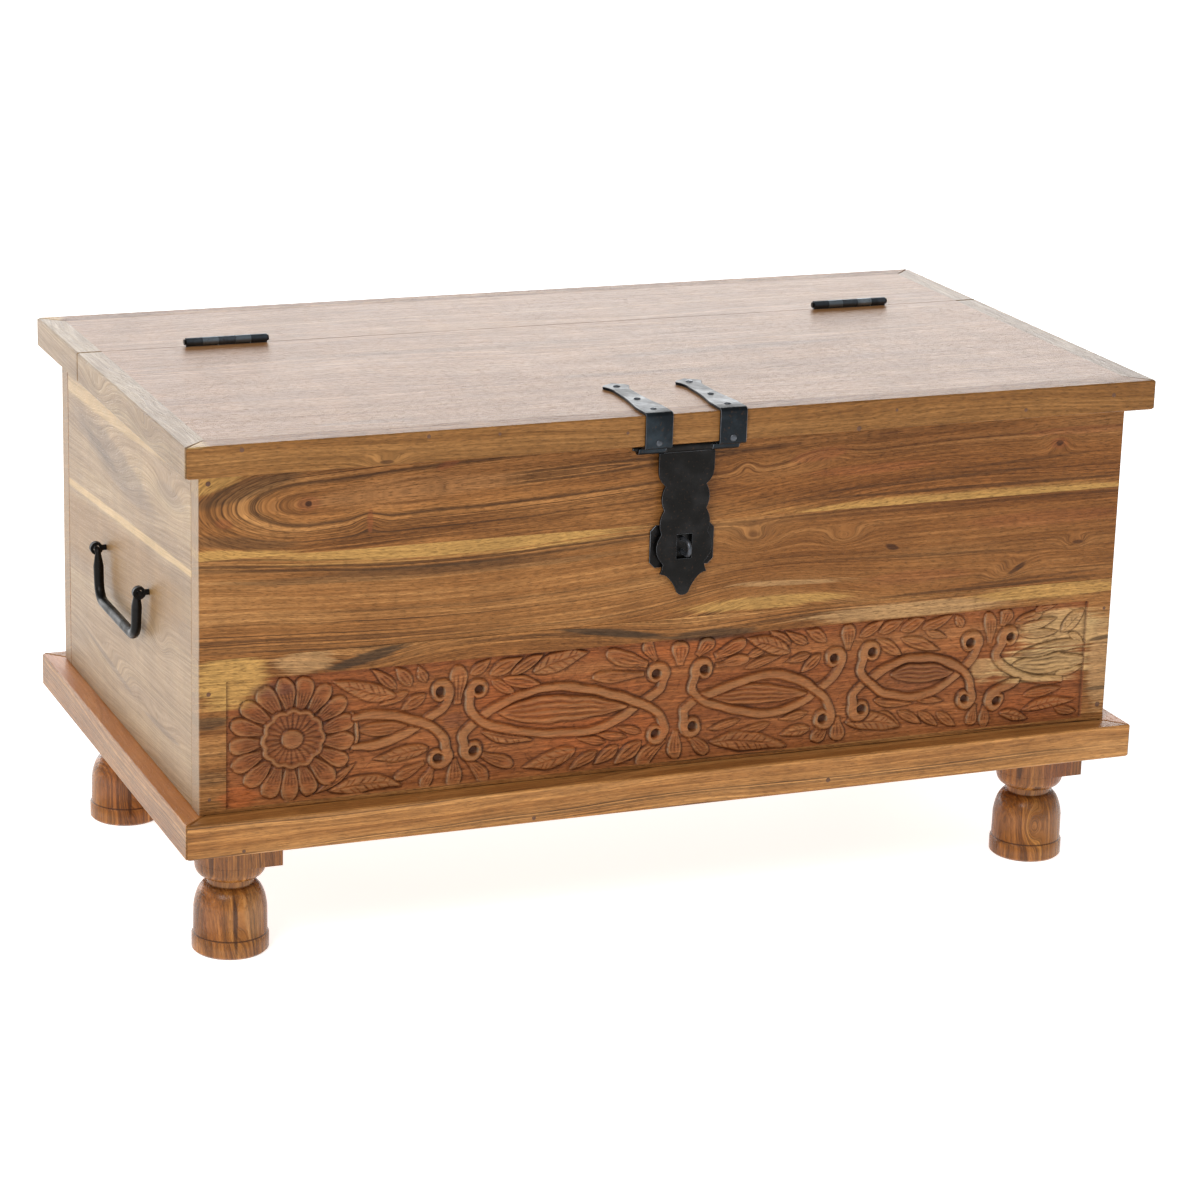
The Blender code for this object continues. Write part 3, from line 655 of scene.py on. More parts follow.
    def leaf(self, base, tip, width, curve=0.0, point=True, top=-0.4, dish=1.1, ribs=0, rib_reach=0.80,
             rib=rib_width, veins=False):
        """A leaf or petal from base to tip: hollowed, with gouged lines along it or veins to both sides."""
        base = np.array(base, float)
        tip = np.array(tip, float)
        length = np.linalg.norm(tip - base)
        direction = (tip - base) / length
        margin = width / 2.0 + abs(curve) + 3.0
        part, x, z = self.window(np.minimum(base, tip) - margin, np.maximum(base, tip) + margin)
        along = ((x - base[0]) * direction[0] + (z - base[1]) * direction[1]) / length
        side = -(x - base[0]) * direction[1] + (z - base[1]) * direction[0]
        inner = np.clip(along, 0.0, 1.0)
        side = side - curve * 4.0 * inner * (1.0 - inner)
        if point:
            half = width / 2.0 * np.sin(math.pi * inner ** 0.8) ** 0.85
        else:
            roundness = np.clip((inner - 0.66) / 0.34, 0.0, 1.0)
            half = width / 2.0 * (0.42 + 0.58 * ease(inner / 0.66)) * np.sqrt(1.0 - roundness ** 2 * 0.98)
        half = np.maximum(half, 0.2)
        distance = np.maximum(np.abs(side) - half, np.maximum(-along, along - 1.0) * length)
        across = np.clip(np.abs(side) / half, 0.0, 1.0)
        surface = top - dish * (1.0 - across ** 2)
        lines = np.zeros(x.shape)
        for number in range(ribs):
            level = 1.5 * (number + 0.5) / ribs - 0.75
            line = np.clip(1.0 - np.abs(side - level * half) / rib, 0.0, 1.0)
            lines = np.maximum(lines, line * ease(inner * 8.0) * ease((rib_reach - inner) * 5.0))
        if veins:
            surface = top - 0.7 * across ** 2
            step = (along * length - 0.9 * np.abs(side) + 1.6 * np.sign(side)) / vein_spacing
            step = step + 0.18 * np.sin(step * 2.4 + base[0])
            off = np.abs(step - np.round(step)) * vein_spacing
            lines = np.clip(1.0 - off / rib, 0.0, 1.0) * ease(np.abs(side) / 2.0)
            lines = lines * ease((0.9 - across) * 6.0) * ease(inner * 6.0) * ease((0.92 - inner) * 6.0)
            middle = np.clip(1.0 - np.abs(side) / rib, 0.0, 1.0) * ease((0.9 - inner) * 4.0)
            lines = np.maximum(lines, middle)
        self.cut(part, distance, surface - rib_depth * lines, lines=lines)

    def disc(self, centre, radius, top, crown=0.0):
        part, off = self.round_window(centre, radius + 3.0)
        self.cut(part, off - radius, top - crown * np.clip(off / radius, 0.0, 1.0) ** 2)

    def lobe(self, centre, radius, top):
        """Levels the middle of a scroll, so that its strap and its eye are one round lobe."""
        part, off = self.round_window(centre, radius + 2.0)
        share = ease((radius - off) / 2.0)
        old = self.height[part]
        self.height[part] = old + (np.maximum(old, top) - old) * share
        self.line_stain_and_shade[part] *= 1.0 - share

    def hole(self, centre, radius, depth):
        part, off = self.round_window(centre, radius + 2.0)
        sunk = ease((radius + 0.8 - off) / 1.6)
        self.height[part] -= depth * sunk
        self.drilled[part] = np.maximum(self.drilled[part], sunk)


def cloud(draws, shape, width):
    """Chance heights of about one unit, as smooth as the width says."""
    rough = blurred(draws.standard_normal(shape), width)
    return rough / rough.std()


def blurred(heights, width):
    """The heights under a soft round brush, for finding the hollows."""
    reach = int(math.ceil(width * 3.0 / panel_pitch))
    brush = np.exp(-0.5 * (np.arange(-reach, reach + 1) * panel_pitch / width) ** 2)
    brush /= brush.sum()
    wide = np.pad(heights, reach, mode="edge")
    for axis in (0, 1):
        wide = np.apply_along_axis(lambda row: np.convolve(row, brush, mode="same"), axis, wide)
    return wide[reach:-reach, reach:-reach]


# The scrolls end round drilled eyes, four where each pair of straps meets the next
eye_radius = 4.2
lobe_radius = 8.8
scroll_tight = 4.6
scroll_wide = 10.2
eyes = {
    "first_left_top": (-223.4, 233.8), "first_right_top": (-188.8, 232.0),
    "first_left_low": (-224.9, 174.9), "first_right_low": (-193.0, 177.5),
    "second_left_top": (-25.0, 229.6), "second_right_top": (20.1, 228.2),
    "second_left_low": (-24.2, 174.1), "second_right_low": (10.7, 177.0),
    "third_left_top": (147.8, 227.3), "third_right_top": (186.1, 228.9),
    "third_left_low": (139.2, 171.6), "third_right_low": (177.0, 175.9),
    "fourth_left_top": (285.9, 229.7), "fourth_right_top": (327.8, 230.6),
    "fourth_left_low": (282.7, 176.1), "fourth_right_low": (316.4, 171.4),
}


def scroll(eye, degrees):
    """Points of a strap's end as it winds out from an eye."""
    centre = eyes[eye]
    winding = []
    for angle, radius in zip(degrees, np.linspace(scroll_tight, scroll_wide, len(degrees))):
        turn = math.radians(angle)
        winding.append((centre[0] + radius * math.cos(turn), centre[1] + radius * math.sin(turn)))
    return winding


def leaving_top(eye):
    return scroll(eye, (-20, 30, 80, 130, 180, 215))


def leaving_low(eye):
    return scroll(eye, (20, -30, -80, -130, -180, -215))


def arriving_top(eye):
    return scroll(eye, (195, 150, 100, 50, 0, -45))[::-1]


def arriving_low(eye):
    return scroll(eye, (-195, -150, -100, -50, 0, 45))[::-1]


rosette_centre = (-352.0, 204.7)
rosette_petals = 17
petal_base = 24.0
petal_tip = 55.5
petal_width = 17.0
petal_turn = 13.0
rosette_inner_petals = 12
rosette_spokes = 2
rosette_rim = 26.0
rosette_scallop = 2.2
rosette_reach = 33.0
bowl_depth = 1.8
bowl_inset = 2.6
bowl_slope = 3.2
spoke_inset = 4.0
rosette_boss = 9.4

# Strapwork: each pair bounds one almond, and the two cross over and under at its ends
strap_width = (6.6, 9.2, 8.6, 9.2, 6.6)
left_end_straps = (
    [(-298, 191), (-280, 191), (-262, 196), (-248, 203), (-234, 211), (-222, 218)]
    + arriving_top("first_left_top"),
    [(-298, 218), (-280, 219), (-262, 216), (-245, 210), (-230, 202), (-219, 191)]
    + arriving_low("first_left_low"),
)
tie_path = [(-300, 188), (-296.5, 196), (-296, 205), (-296.5, 214), (-300, 222)]
tie_width = (3.0, 3.6, 4.0, 3.6, 3.0)
almond_straps = (
    (
        leaving_top("first_right_top")
        + [(-197, 216), (-190, 206), (-178, 199), (-160, 193), (-140, 188), (-110, 184), (-85, 183),
           (-70, 186), (-55, 193), (-45, 200), (-32, 207), (-21, 214)]
        + arriving_top("second_left_top"),
        leaving_low("first_right_low")
        + [(-203, 191), (-197, 199), (-188, 206), (-178, 212), (-165, 218), (-150, 223), (-130, 226.5),
           (-110, 226), (-90, 222), (-70, 216), (-50, 208), (-35, 201), (-22, 191)]
        + arriving_low("second_left_low"),
    ),
    (
        leaving_top("second_right_top")
        + [(9, 213), (13, 206), (22, 199), (36, 193), (55, 187), (80, 182), (100, 184), (112, 187),
           (122, 192), (131, 198), (141, 205), (150, 213)]
        + arriving_top("third_left_top"),
        leaving_low("second_right_low")
        + [(2, 191), (7, 197), (15, 202), (30, 206), (45, 211), (60, 215), (75, 218), (90, 218),
           (105, 214), (120, 207), (132, 198), (141, 189)]
        + arriving_low("third_left_low"),
    ),
    (
        leaving_top("third_right_top")
        + [(175, 213), (180, 205), (188, 198), (200, 190), (215, 186), (230, 184), (250, 187),
           (262, 193), (272, 199), (281, 206), (289, 214)]
        + arriving_top("fourth_left_top"),
        leaving_low("third_right_low")
        + [(168, 191), (175, 198), (184, 204), (196, 211), (210, 217), (222, 219.5), (240, 219.5),
           (255, 216), (270, 210), (281, 202), (288, 192)]
        + arriving_low("fourth_left_low"),
    ),
)
right_end_straps = (
    leaving_top("fourth_right_top")
    + [(314, 214), (320, 206), (330, 198), (345, 191), (365, 186.5), (384, 185)],
    scroll("fourth_right_low", (-30, -80, -130, 180, 130, 85)) + [(327, 184), (338, 188)],
)
right_end_cut = ((337, 188), (383, 183), 2.4, 1.8)

# Leaves inside the almonds: base, tip, width, curve
almond_leaves = (
    ((-296, 206), (-243, 204), 15, 0),
    ((-172, 209), (-44, 201), 25, 1),
    ((26, 203), (127, 197), 20, 1),
    ((206, 207), (275, 203), 19, 0),
    ((332, 202), (420, 203), 19, 0),
    ((333, 211), (424, 220), 12, 2),
)
# Broad leaves with side veins: base, tip, width, curve
veined_leaves = (
    ((-262, 233), (-318, 252), 17, 1),
    ((-140, 242), (-90, 256), 18, 2),
    ((-98, 168), (-148, 155), 17, 1),
    ((-320, 153), (-254, 153), 16, 5),
    ((28, 160), (106, 150), 18, 3),
    ((104, 238), (60, 253), 16, -1),
    ((163, 166), (218, 156), 18, 3),
    ((382, 231), (406, 253), 14, 0),
    ((-186, 193), (-138, 180), 13, 0),
    ((-232, 184), (-281, 178), 14, 0),
    ((128, 163), (96, 160), 12, -1),
    ((345, 159), (402, 165), 12, 2),
    ((322, 158), (352, 149.5), 11, 1),
)
# Small pointed leaflets of the running border: base, tip, width
leaflets = (
    ((-262, 240), (-282, 259), 11), ((-248, 241), (-263, 259), 11), ((-236, 243), (-244, 259), 10),
    ((-250, 236), (-277, 226), 9), ((-236, 232), (-258, 220), 11),
    ((-198, 246), (-177, 259), 10), ((-180, 245), (-150, 258), 12), ((-160, 244), (-129, 258), 11),
    ((-178, 240), (-154, 224), 11), ((-168, 241), (-130, 229), 12),
    ((-78, 163), (-104, 149.5), 11), ((-58, 165), (-82, 150), 12), ((-37, 168), (-62, 149.5), 13),
    ((-38, 176), (-60, 183), 8), ((-50, 172), (-82, 179), 8), ((-70, 170), (-98, 177), 8),
    ((105, 245), (83, 259), 10), ((122, 243), (99, 258), 10), ((140, 243), (119, 258), 10),
    ((125, 233), (100, 228), 9), ((135, 232), (116, 216), 11), ((125, 178), (96, 175), 8),
    ((172, 244), (196, 257), 11), ((192, 246), (217, 258), 11), ((214, 247), (241, 258), 11),
    ((236, 247), (266, 258), 12), ((190, 240), (217, 224), 12), ((215, 240), (257, 225), 12),
    ((190, 184), (230, 177), 12), ((195, 172), (219, 155), 11), ((216, 170), (240, 156), 10),
    ((236, 168), (258, 152), 10), ((256, 166), (276, 150), 10), ((228, 184), (262, 176), 9),
    ((278, 245), (269, 258), 10), ((332, 243), (364, 253), 12), ((336, 238), (377, 245), 10),
    ((338, 232), (379, 232), 10), ((390, 229), (409, 221), 8), ((345, 173), (387, 178), 10),
    ((380, 158), (404, 151), 9), ((-330, 153), (-296, 176), 8), ((378, 190), (408, 196), 9),
    ((352, 253), (376, 258), 8), ((240, 245), (262, 236), 8), ((58, 178), (26, 172), 8),
    ((88, 172), (52, 165), 9), ((62, 236), (86, 244), 8), ((60, 226), (98, 236), 8),
)
# Round petals fanned about the eyes: base, tip, width
fan_petals = (
    ((-207.5, 221), (-207.5, 258), 15), ((-33, 238), (-73, 253), 15), ((-36, 230), (-84, 231), 12),
    ((-24, 241), (-37, 259), 12), ((-3, 234), (-3, 258), 16), ((14, 241), (29, 258), 14),
    ((30, 239), (60, 251), 14), ((31, 231), (64, 235), 10),
    ((-236, 171), (-263, 159), 10), ((-229, 166), (-238, 148.5), 12), ((-211, 172), (-209, 148), 15),
    ((-198, 169), (-178, 149.5), 12), ((-186, 173), (-156, 159), 13),
    ((-14, 168), (-42, 149), 15), ((-5, 174), (-5, 149), 14), ((8, 168), (27, 148.5), 13),
    ((154, 172), (155, 148), 16), ((145, 166), (130, 149), 13), ((161, 233), (161, 258), 14),
    ((307, 226), (306, 257), 13), ((319, 242), (326, 258), 14),
    ((296, 170), (289, 148.5), 12), ((306, 168), (304, 148), 12),
)


def carve_rosette(relief):
    """The flower at the panel's left end: petals round a scalloped bowl with a boss in it."""
    centre = np.array(rosette_centre)
    for number in range(rosette_petals):
        angle = math.radians(petal_turn + 360.0 / rosette_petals * number)
        ray = np.array((math.cos(angle), math.sin(angle)))
        relief.leaf(centre + petal_base * ray, centre + petal_tip * ray, petal_width, point=False, ribs=4,
                    rib_reach=0.66, top=-0.1)
    part, x, z = relief.window(centre - rosette_reach, centre + rosette_reach)
    off = np.hypot(x - centre[0], z - centre[1])
    turn = np.arctan2(z - centre[1], x - centre[0]) * rosette_inner_petals / 2.0
    rim = rosette_rim + rosette_scallop * np.abs(np.cos(turn))
    bowl = -0.1 - bowl_depth * ease((rim - bowl_inset - off) / bowl_slope)
    spokes = turn * rosette_spokes / math.pi
    spoke_gap = 2.0 * math.pi * off / (rosette_inner_petals * rosette_spokes)
    spoke_off = np.abs(spokes - np.round(spokes)) * spoke_gap
    spoke = np.clip(1.0 - spoke_off / rib_width, 0.0, 1.0) * ease((rim - spoke_inset - off) / 2.0)
    relief.cut(part, off - rim, bowl - rib_depth * spoke, lines=spoke)
    relief.disc(rosette_centre, rosette_boss, 0.0, crown=0.7)


def carve_panel():
    """The whole carved panel, from its ground up."""
    relief = Relief()
    for base, tip, width in leaflets:
        relief.leaf(base, tip, width, dish=0.8, ribs=2)
    for base, tip, width, curve in veined_leaves:
        relief.leaf(base, tip, width, curve, veins=True)
    for base, tip, width in fan_petals:
        relief.leaf(base, tip, width, point=False, ribs=3, dish=0.8, top=-0.3)
    for base, tip, width, curve in almond_leaves:
        relief.leaf(base, tip, width, curve, ribs=3, rib_reach=0.95, rib=1.8, dish=-0.3, top=-0.9)
    carve_rosette(relief)
    relief.band(tie_path, tie_width)
    for eye in eyes.values():
        relief.disc(eye, lobe_radius, -0.7)
    for path in left_end_straps:
        relief.band(path, strap_width)
    for under, over in almond_straps:
        relief.band(over, strap_width)
        relief.band(under, strap_width)
        relief.band(over, strap_width, first=0.5)
    for path in right_end_straps:
        relief.band(path, strap_width)
    for eye in eyes.values():
        relief.lobe(eye, lobe_radius - 1.0, -0.35)
        relief.hole(eye, eye_radius, eye_depth)
    relief.gouge(*right_end_cut)
    draws = np.random.default_rng(11)
    relief.rough_ground(draws)
    rough = blurred(draws.standard_normal(relief.height.shape), tool_mark_width)
    relief.height = relief.height + rough * tool_marks
    relief.height = blurred(relief.height, carving_softness)
    relief.height = np.clip(relief.height, deepest_cut, 0.0)
    return relief


# How dark the cuts are with stain and painted shade, and how far the raised parts are made pale with wear
# and painted highlight
hollow_brush = 2.0
cut_least = 0.07
cut_full = 0.65
edge_least = 0.05
edge_full = 0.45
line_stain_and_shade_patch = 9.0
line_stain_and_shade_least = 0.25
line_stain_and_shade_share = 0.68
cut_share = 0.42
rub_highlight_patch = 7.0
rub_highlight_least = 0.35
rub_highlight_share = 0.45
edge_share = 0.55
rub_highlight_from = 1.2
rub_highlight_range = 0.8
border_side = 0.6
border_right = 0.8
border_top = 0.45
carved_edge = 0.0008
seam_share = 0.3


def level_border(grid):
    """Sets the outermost row of a grid to nothing on all four sides."""
    for border in (grid[0, :], grid[-1, :], grid[:, 0], grid[:, -1]):
        border[:] = 0.0


def patchy(seed, shape, width, least):
    """Shares from least to 1 that change over the panel in soft patches."""
    return least + (1.0 - least) * ease(0.5 + 0.4 * cloud(np.random.default_rng(seed), shape, width))


def stain_shade_wear_highlight(relief):
    """How dark each point of the carving is with stain and painted shade, and how pale with wear and
    painted highlight.
    """
    around = blurred(relief.height, hollow_brush)
    # Painted shade: the further a point lies below the heights round it, the darker it is made.
    cuts = np.clip((around - relief.height - cut_least) / cut_full, 0.0, 1.0)
    # Painted highlight: edges that stand above the heights round them are made paler.
    edges = np.clip((relief.height - around - edge_least) / edge_full, 0.0, 1.0)
    kept_line_stain_and_shade = patchy(23, relief.height.shape, line_stain_and_shade_patch, line_stain_and_shade_least)
    stain_and_shade = np.clip(relief.line_stain_and_shade * kept_line_stain_and_shade * line_stain_and_shade_share + cuts * cut_share, 0.0, 1.0)
    # The drilled eyes are made dark all through: painted shade in the holes.
    stain_and_shade = np.maximum(stain_and_shade, relief.drilled)
    # Tops are made paler in soft patches: wear, and painted highlight.
    rub_and_highlight = patchy(31, relief.height.shape, rub_highlight_patch, rub_highlight_least)
    wear_and_highlight = rub_highlight_share * ease((relief.height + rub_highlight_from) / rub_highlight_range) * rub_and_highlight + edge_share * edges
    wear_and_highlight = wear_and_highlight * (1.0 - stain_and_shade)
    # The rows along the panel's left, right and top edges are made darker.
    stain_and_shade[1:3, :] = np.maximum(stain_and_shade[1:3, :], border_side)
    stain_and_shade[-3:-1, :] = np.maximum(stain_and_shade[-3:-1, :], border_right)
    stain_and_shade[:, -3:-1] = np.maximum(stain_and_shade[:, -3:-1], border_top * kept_line_stain_and_shade[:, -3:-1])
    level_border(stain_and_shade)
    return stain_and_shade, wear_and_highlight


def carved_front(finish):
    """The lower front board with its carved panel, closed all round."""
    low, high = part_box("front_board_lower")
    relief = carve_panel()
    stain_and_shade, wear_and_highlight = stain_shade_wear_highlight(relief)
    heights = relief.height.copy()
    level_border(heights)
    count_x, count_z = heights.shape
    points = np.empty((count_x * count_z, 3))
    points[:, 0] = relief.grid_x.ravel() * mm
    points[:, 1] = low.y - heights.ravel() * mm
    points[:, 2] = relief.grid_z.ravel() * mm
    index = np.arange(count_x * count_z).reshape(count_x, count_z)
    quads = np.stack([index[:-1, :-1], index[1:, :-1], index[1:, 1:], index[:-1, 1:]], axis=-1)
    faces = quads.reshape(-1, 4).tolist()
    smooth_count = len(faces)

    def ring(inset, y):
        seam_inset = inset * seam_share
        return [
            (low.x + inset, y, low.z + seam_inset), (high.x - inset, y, low.z + seam_inset),
            (high.x - inset, y, high.z - seam_inset), (low.x + inset, y, high.z - seam_inset),
        ]

    start = count_x * count_z
    outline = ring(carved_edge, low.y) + ring(0.0, low.y + carved_edge) + ring(0.0, high.y)
    front = range(start, start + 4)
    side = range(start + 4, start + 8)
    back = range(start + 8, start + 12)
    edges_of_panel = (
        index[::-1, 0].tolist(), index[-1, ::-1].tolist(), index[:, -1].tolist(), index[0, :].tolist(),
    )
    for number in range(4):
        after = (number + 1) % 4
        faces.append([front[number], front[after]] + edges_of_panel[number])
        faces.append([side[number], side[after], front[after], front[number]])
        faces.append([back[number], back[after], side[after], side[number]])
    faces.append([back[3], back[2], back[1], back[0]])
    mesh = bpy.data.meshes.new("carved_front_board")
    mesh.from_pydata(points.tolist() + outline, [], faces)
    shading = np.zeros(len(faces), bool)
    shading[:smooth_count] = True
    panel = mesh.attributes.new("carved", "FLOAT", "FACE")
    panel.data.foreach_set("value", shading.astype(np.float32))
    for label, values in (("stain_and_shade", stain_and_shade), ("wear_and_highlight", wear_and_highlight)):
        layer = mesh.attributes.new(label, "FLOAT", "POINT")
        layer.data.foreach_set("value", np.concatenate([values.ravel(), np.zeros(len(outline))]))
    mesh = thinned(mesh, panel_most_triangles)
    shading = np.zeros(len(mesh.polygons), np.float32)
    mesh.attributes["carved"].data.foreach_get("value", shading)
    mesh.polygons.foreach_set("use_smooth", shading > 0.5)
    mesh.materials.clear()
    mesh.materials.append(finish)
    return dress(mesh, "carved_front_board", "carcass", "wood", "front_board_lower")


def thinned(mesh, most_triangles):
    """The mesh with fewer triangles where it is nearly flat."""
    holder = bpy.data.objects.new("thinning", mesh)
    bpy.context.scene.collection.objects.link(holder)
    mesh.calc_loop_triangles()
    modifier = holder.modifiers.new("thinning", "DECIMATE")
    modifier.ratio = min(1.0, most_triangles / len(mesh.loop_triangles))
    depsgraph = bpy.context.evaluated_depsgraph_get()
    result = bpy.data.meshes.new_from_object(holder.evaluated_get(depsgraph))
    result.name = mesh.name
    bpy.data.objects.remove(holder)
    return result


# Pieces

glue_gap = 0.00015
seam_chamfer = 0.0016
board_chamfer = 0.0009
same_point = 0.00002
flat_angle = math.radians(0.5)
on_box = 0.002


def dress(mesh, name, body, slot, *replaced):
    """Puts a finished mesh in the scene, on its body."""
    piece = bpy.data.objects.new(name, mesh)
    bpy.context.scene.collection.objects.link(piece)
    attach(piece, body)
    if replaced:
        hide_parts(*replaced)
    return piece


def close_seams(shape, node, flush, chamfer):
    """Brings the glued faces out by half the glue's thickness and squares the chamfers round them."""
    low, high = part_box(node)
    for axis, way in flush:
        face = high[axis] if way > 0 else low[axis]
        for corner in shape.verts:
            if abs(corner.co[axis] - face) < chamfer:
                corner.co[axis] = face + way * glue_gap
    bmesh.ops.remove_doubles(shape, verts=shape.verts, dist=same_point)
    bmesh.ops.dissolve_degenerate(shape, edges=shape.edges, dist=same_point / 2.0)
    bmesh.ops.dissolve_limit(shape, angle_limit=flat_angle, verts=shape.verts, edges=shape.edges)


def weigh_edges(shape, whole):
    """Marks the edges to be eased: all of them, or those on the edges of the whole's box."""
    weights = shape.edges.layers.float.new("bevel_weight_edge")
    for line in shape.edges:
        line[weights] = 1.0
        if whole:
            middle = (line.verts[0].co + line.verts[1].co) / 2.0
            sides = 0
            for axis in range(3):
                if min(abs(middle[axis] - whole[0][axis]), abs(middle[axis] - whole[1][axis])) < on_box:
                    sides += 1
            line[weights] = 1.0 if sides > 1 else 0.0


def eased(node, finish, slot, edge, steps=2, crease=35.0, rub_and_highlight=None, whole=None, flush=(),
          chamfer=seam_chamfer):
    """A copy of a CAD node with its edges eased, which then stands for the node.

    whole is the box of the larger thing that the node is a part of: only the edges on that box's own
    edges are eased. Each entry of flush is a glued face, given as its axis and way: it is brought out by
    half the glue's thickness, and the CAD's small chamfers round it, up to the size of chamfer, are
    squared, so the seam is closed.
    """
    shape = bmesh.new()
    shape.from_mesh(nodes[node].data)
    bmesh.ops.remove_doubles(shape, verts=shape.verts, dist=same_point)
    bmesh.ops.dissolve_limit(shape, angle_limit=flat_angle, verts=shape.verts, edges=shape.edges)
    if flush:
        close_seams(shape, node, flush, chamfer)
    weigh_edges(shape, whole)
    mesh = bpy.data.meshes.new(node + "_eased")
    shape.to_mesh(mesh)
    shape.free()
    for leftover in ("custom_normal", "sharp_face", "sharp_edge"):
        if leftover in mesh.attributes:
            mesh.attributes.remove(mesh.attributes[leftover])
    mesh.materials.clear()
    mesh.materials.append(finish)
    for face in mesh.polygons:
        face.use_smooth = True
        face.material_index = 0
    mesh.set_sharp_from_angle(angle=math.radians(crease))
    body = body_of(nodes[node])[0]
    piece = dress(mesh, node + "_eased", body, slot, node)
    if edge:
        for line, weight in zip(mesh.edges, mesh.attributes["bevel_weight_edge"].data):
            if not line.use_edge_sharp:
                weight.value = 0.0
        bevel = piece.modifiers.new("eased edges", "BEVEL")
        bevel.width = edge
        bevel.segments = steps
        bevel.limit_method = "WEIGHT"
        bevel.harden_normals = True
        # The eased edges take the paler finish: wear, and painted glint.
        if rub_and_highlight:
            mesh.materials.append(rub_and_highlight)
            bevel.material = 1
    return piece


def box_of(*names):
    """The box round several CAD nodes."""
    boxes = [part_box(name) for name in names]
    low = Vector([min(box[0][axis] for box in boxes) for axis in range(3)])
    high = Vector([max(box[1][axis] for box in boxes) for axis in range(3)])
    return low, high


def geometry_tree(name, inputs):
    """An empty Geometry Nodes tree with named inputs, given as name, kind and first value."""
    tree = bpy.data.node_groups.new(name, "GeometryNodeTree")
    tree.interface.new_socket("Geometry", in_out="INPUT", socket_type="NodeSocketGeometry")
    tree.interface.new_socket("Geometry", in_out="OUTPUT", socket_type="NodeSocketGeometry")
    for label, kind, value in inputs:
        socket = tree.interface.new_socket(label, in_out="INPUT", socket_type=kind)
        if value is not None:
            socket.default_value = value
    return tree


def studded_tree():
    """Round heads set on points, each facing the way that its point says, with small chance differences."""
    tree = geometry_tree("studs", (
        ("Head width", "NodeSocketFloat", 0.007),
        ("Head height", "NodeSocketFloat", 0.002),
        ("Size spread", "NodeSocketFloat", 0.1),
        ("Finish", "NodeSocketMaterial", None),
    ))
    add = tree.nodes.new
    link = tree.links.new
    given = add("NodeGroupInput")
    result = add("NodeGroupOutput")
    head = add("GeometryNodeMeshUVSphere")
    head.inputs["Segments"].default_value = 14
    head.inputs["Rings"].default_value = 8
    head.inputs["Radius"].default_value = 0.5
    shape = add("GeometryNodeTransform")
    size = add("ShaderNodeCombineXYZ")
    tall = add("ShaderNodeMath")
    tall.operation = "MULTIPLY"
    tall.inputs[1].default_value = 2.0
    link(given.outputs["Head width"], size.inputs[0])
    link(given.outputs["Head width"], size.inputs[1])
    link(given.outputs["Head height"], tall.inputs[0])
    link(tall.outputs[0], size.inputs[2])
    link(head.outputs["Mesh"], shape.inputs["Geometry"])
    link(size.outputs[0], shape.inputs["Scale"])
    facing = add("GeometryNodeInputNamedAttribute")
    facing.data_type = "FLOAT_VECTOR"
    facing.inputs["Name"].default_value = "facing"
    turn = add("FunctionNodeAlignRotationToVector")
    turn.axis = "Z"
    link(facing.outputs["Attribute"], turn.inputs["Vector"])
    chance = add("FunctionNodeRandomValue")
    chance.data_type = "FLOAT"
    chance.inputs["Seed"].default_value = 7
    for operation, socket in (("SUBTRACT", chance.inputs[2]), ("ADD", chance.inputs[3])):
        limit = add("ShaderNodeMath")
        limit.operation = operation
        limit.inputs[0].default_value = 1.0
        link(given.outputs["Size spread"], limit.inputs[1])
        link(limit.outputs[0], socket)
    place = add("GeometryNodeInstanceOnPoints")
    link(given.outputs["Geometry"], place.inputs["Points"])
    link(shape.outputs["Geometry"], place.inputs["Instance"])
    link(turn.outputs["Rotation"], place.inputs["Rotation"])
    link(chance.outputs[1], place.inputs["Scale"])
    heads = place.outputs["Instances"]
    for kind in ("GeometryNodeRealizeInstances", "GeometryNodeSetShadeSmooth", "GeometryNodeSetMaterial"):
        step = add(kind)
        link(heads, step.inputs["Geometry"])
        heads = step.outputs["Geometry"]
    link(given.outputs["Finish"], step.inputs["Material"])
    link(heads, result.inputs["Geometry"])
    return tree


def studs(name, tree, spots, width, height, spread, finish, body, slot):
    """A set of nail heads or filled holes on one body: each spot is a place and the way that it faces."""
    holder_mesh = bpy.data.meshes.new(name + "_points")
    holder_mesh.from_pydata([spot[0] for spot in spots], [], [])
    facing = holder_mesh.attributes.new("facing", "FLOAT_VECTOR", "POINT")
    for number, spot in enumerate(spots):
        facing.data[number].vector = spot[1]
    holder = bpy.data.objects.new(name + "_points", holder_mesh)
    bpy.context.scene.collection.objects.link(holder)
    modifier = holder.modifiers.new("studs", "NODES")
    modifier.node_group = tree
    values = {"Head width": width, "Head height": height, "Size spread": spread, "Finish": finish}
    for item in tree.interface.items_tree:
        if item.item_type == "SOCKET" and item.in_out == "INPUT" and item.name in values:
            modifier[item.identifier] = values[item.name]
    depsgraph = bpy.context.evaluated_depsgraph_get()
    mesh = bpy.data.meshes.new_from_object(holder.evaluated_get(depsgraph))
    mesh.name = name
    holder.modifiers.remove(modifier)
    bpy.data.objects.remove(holder)
    return dress(mesh, name, body, slot)


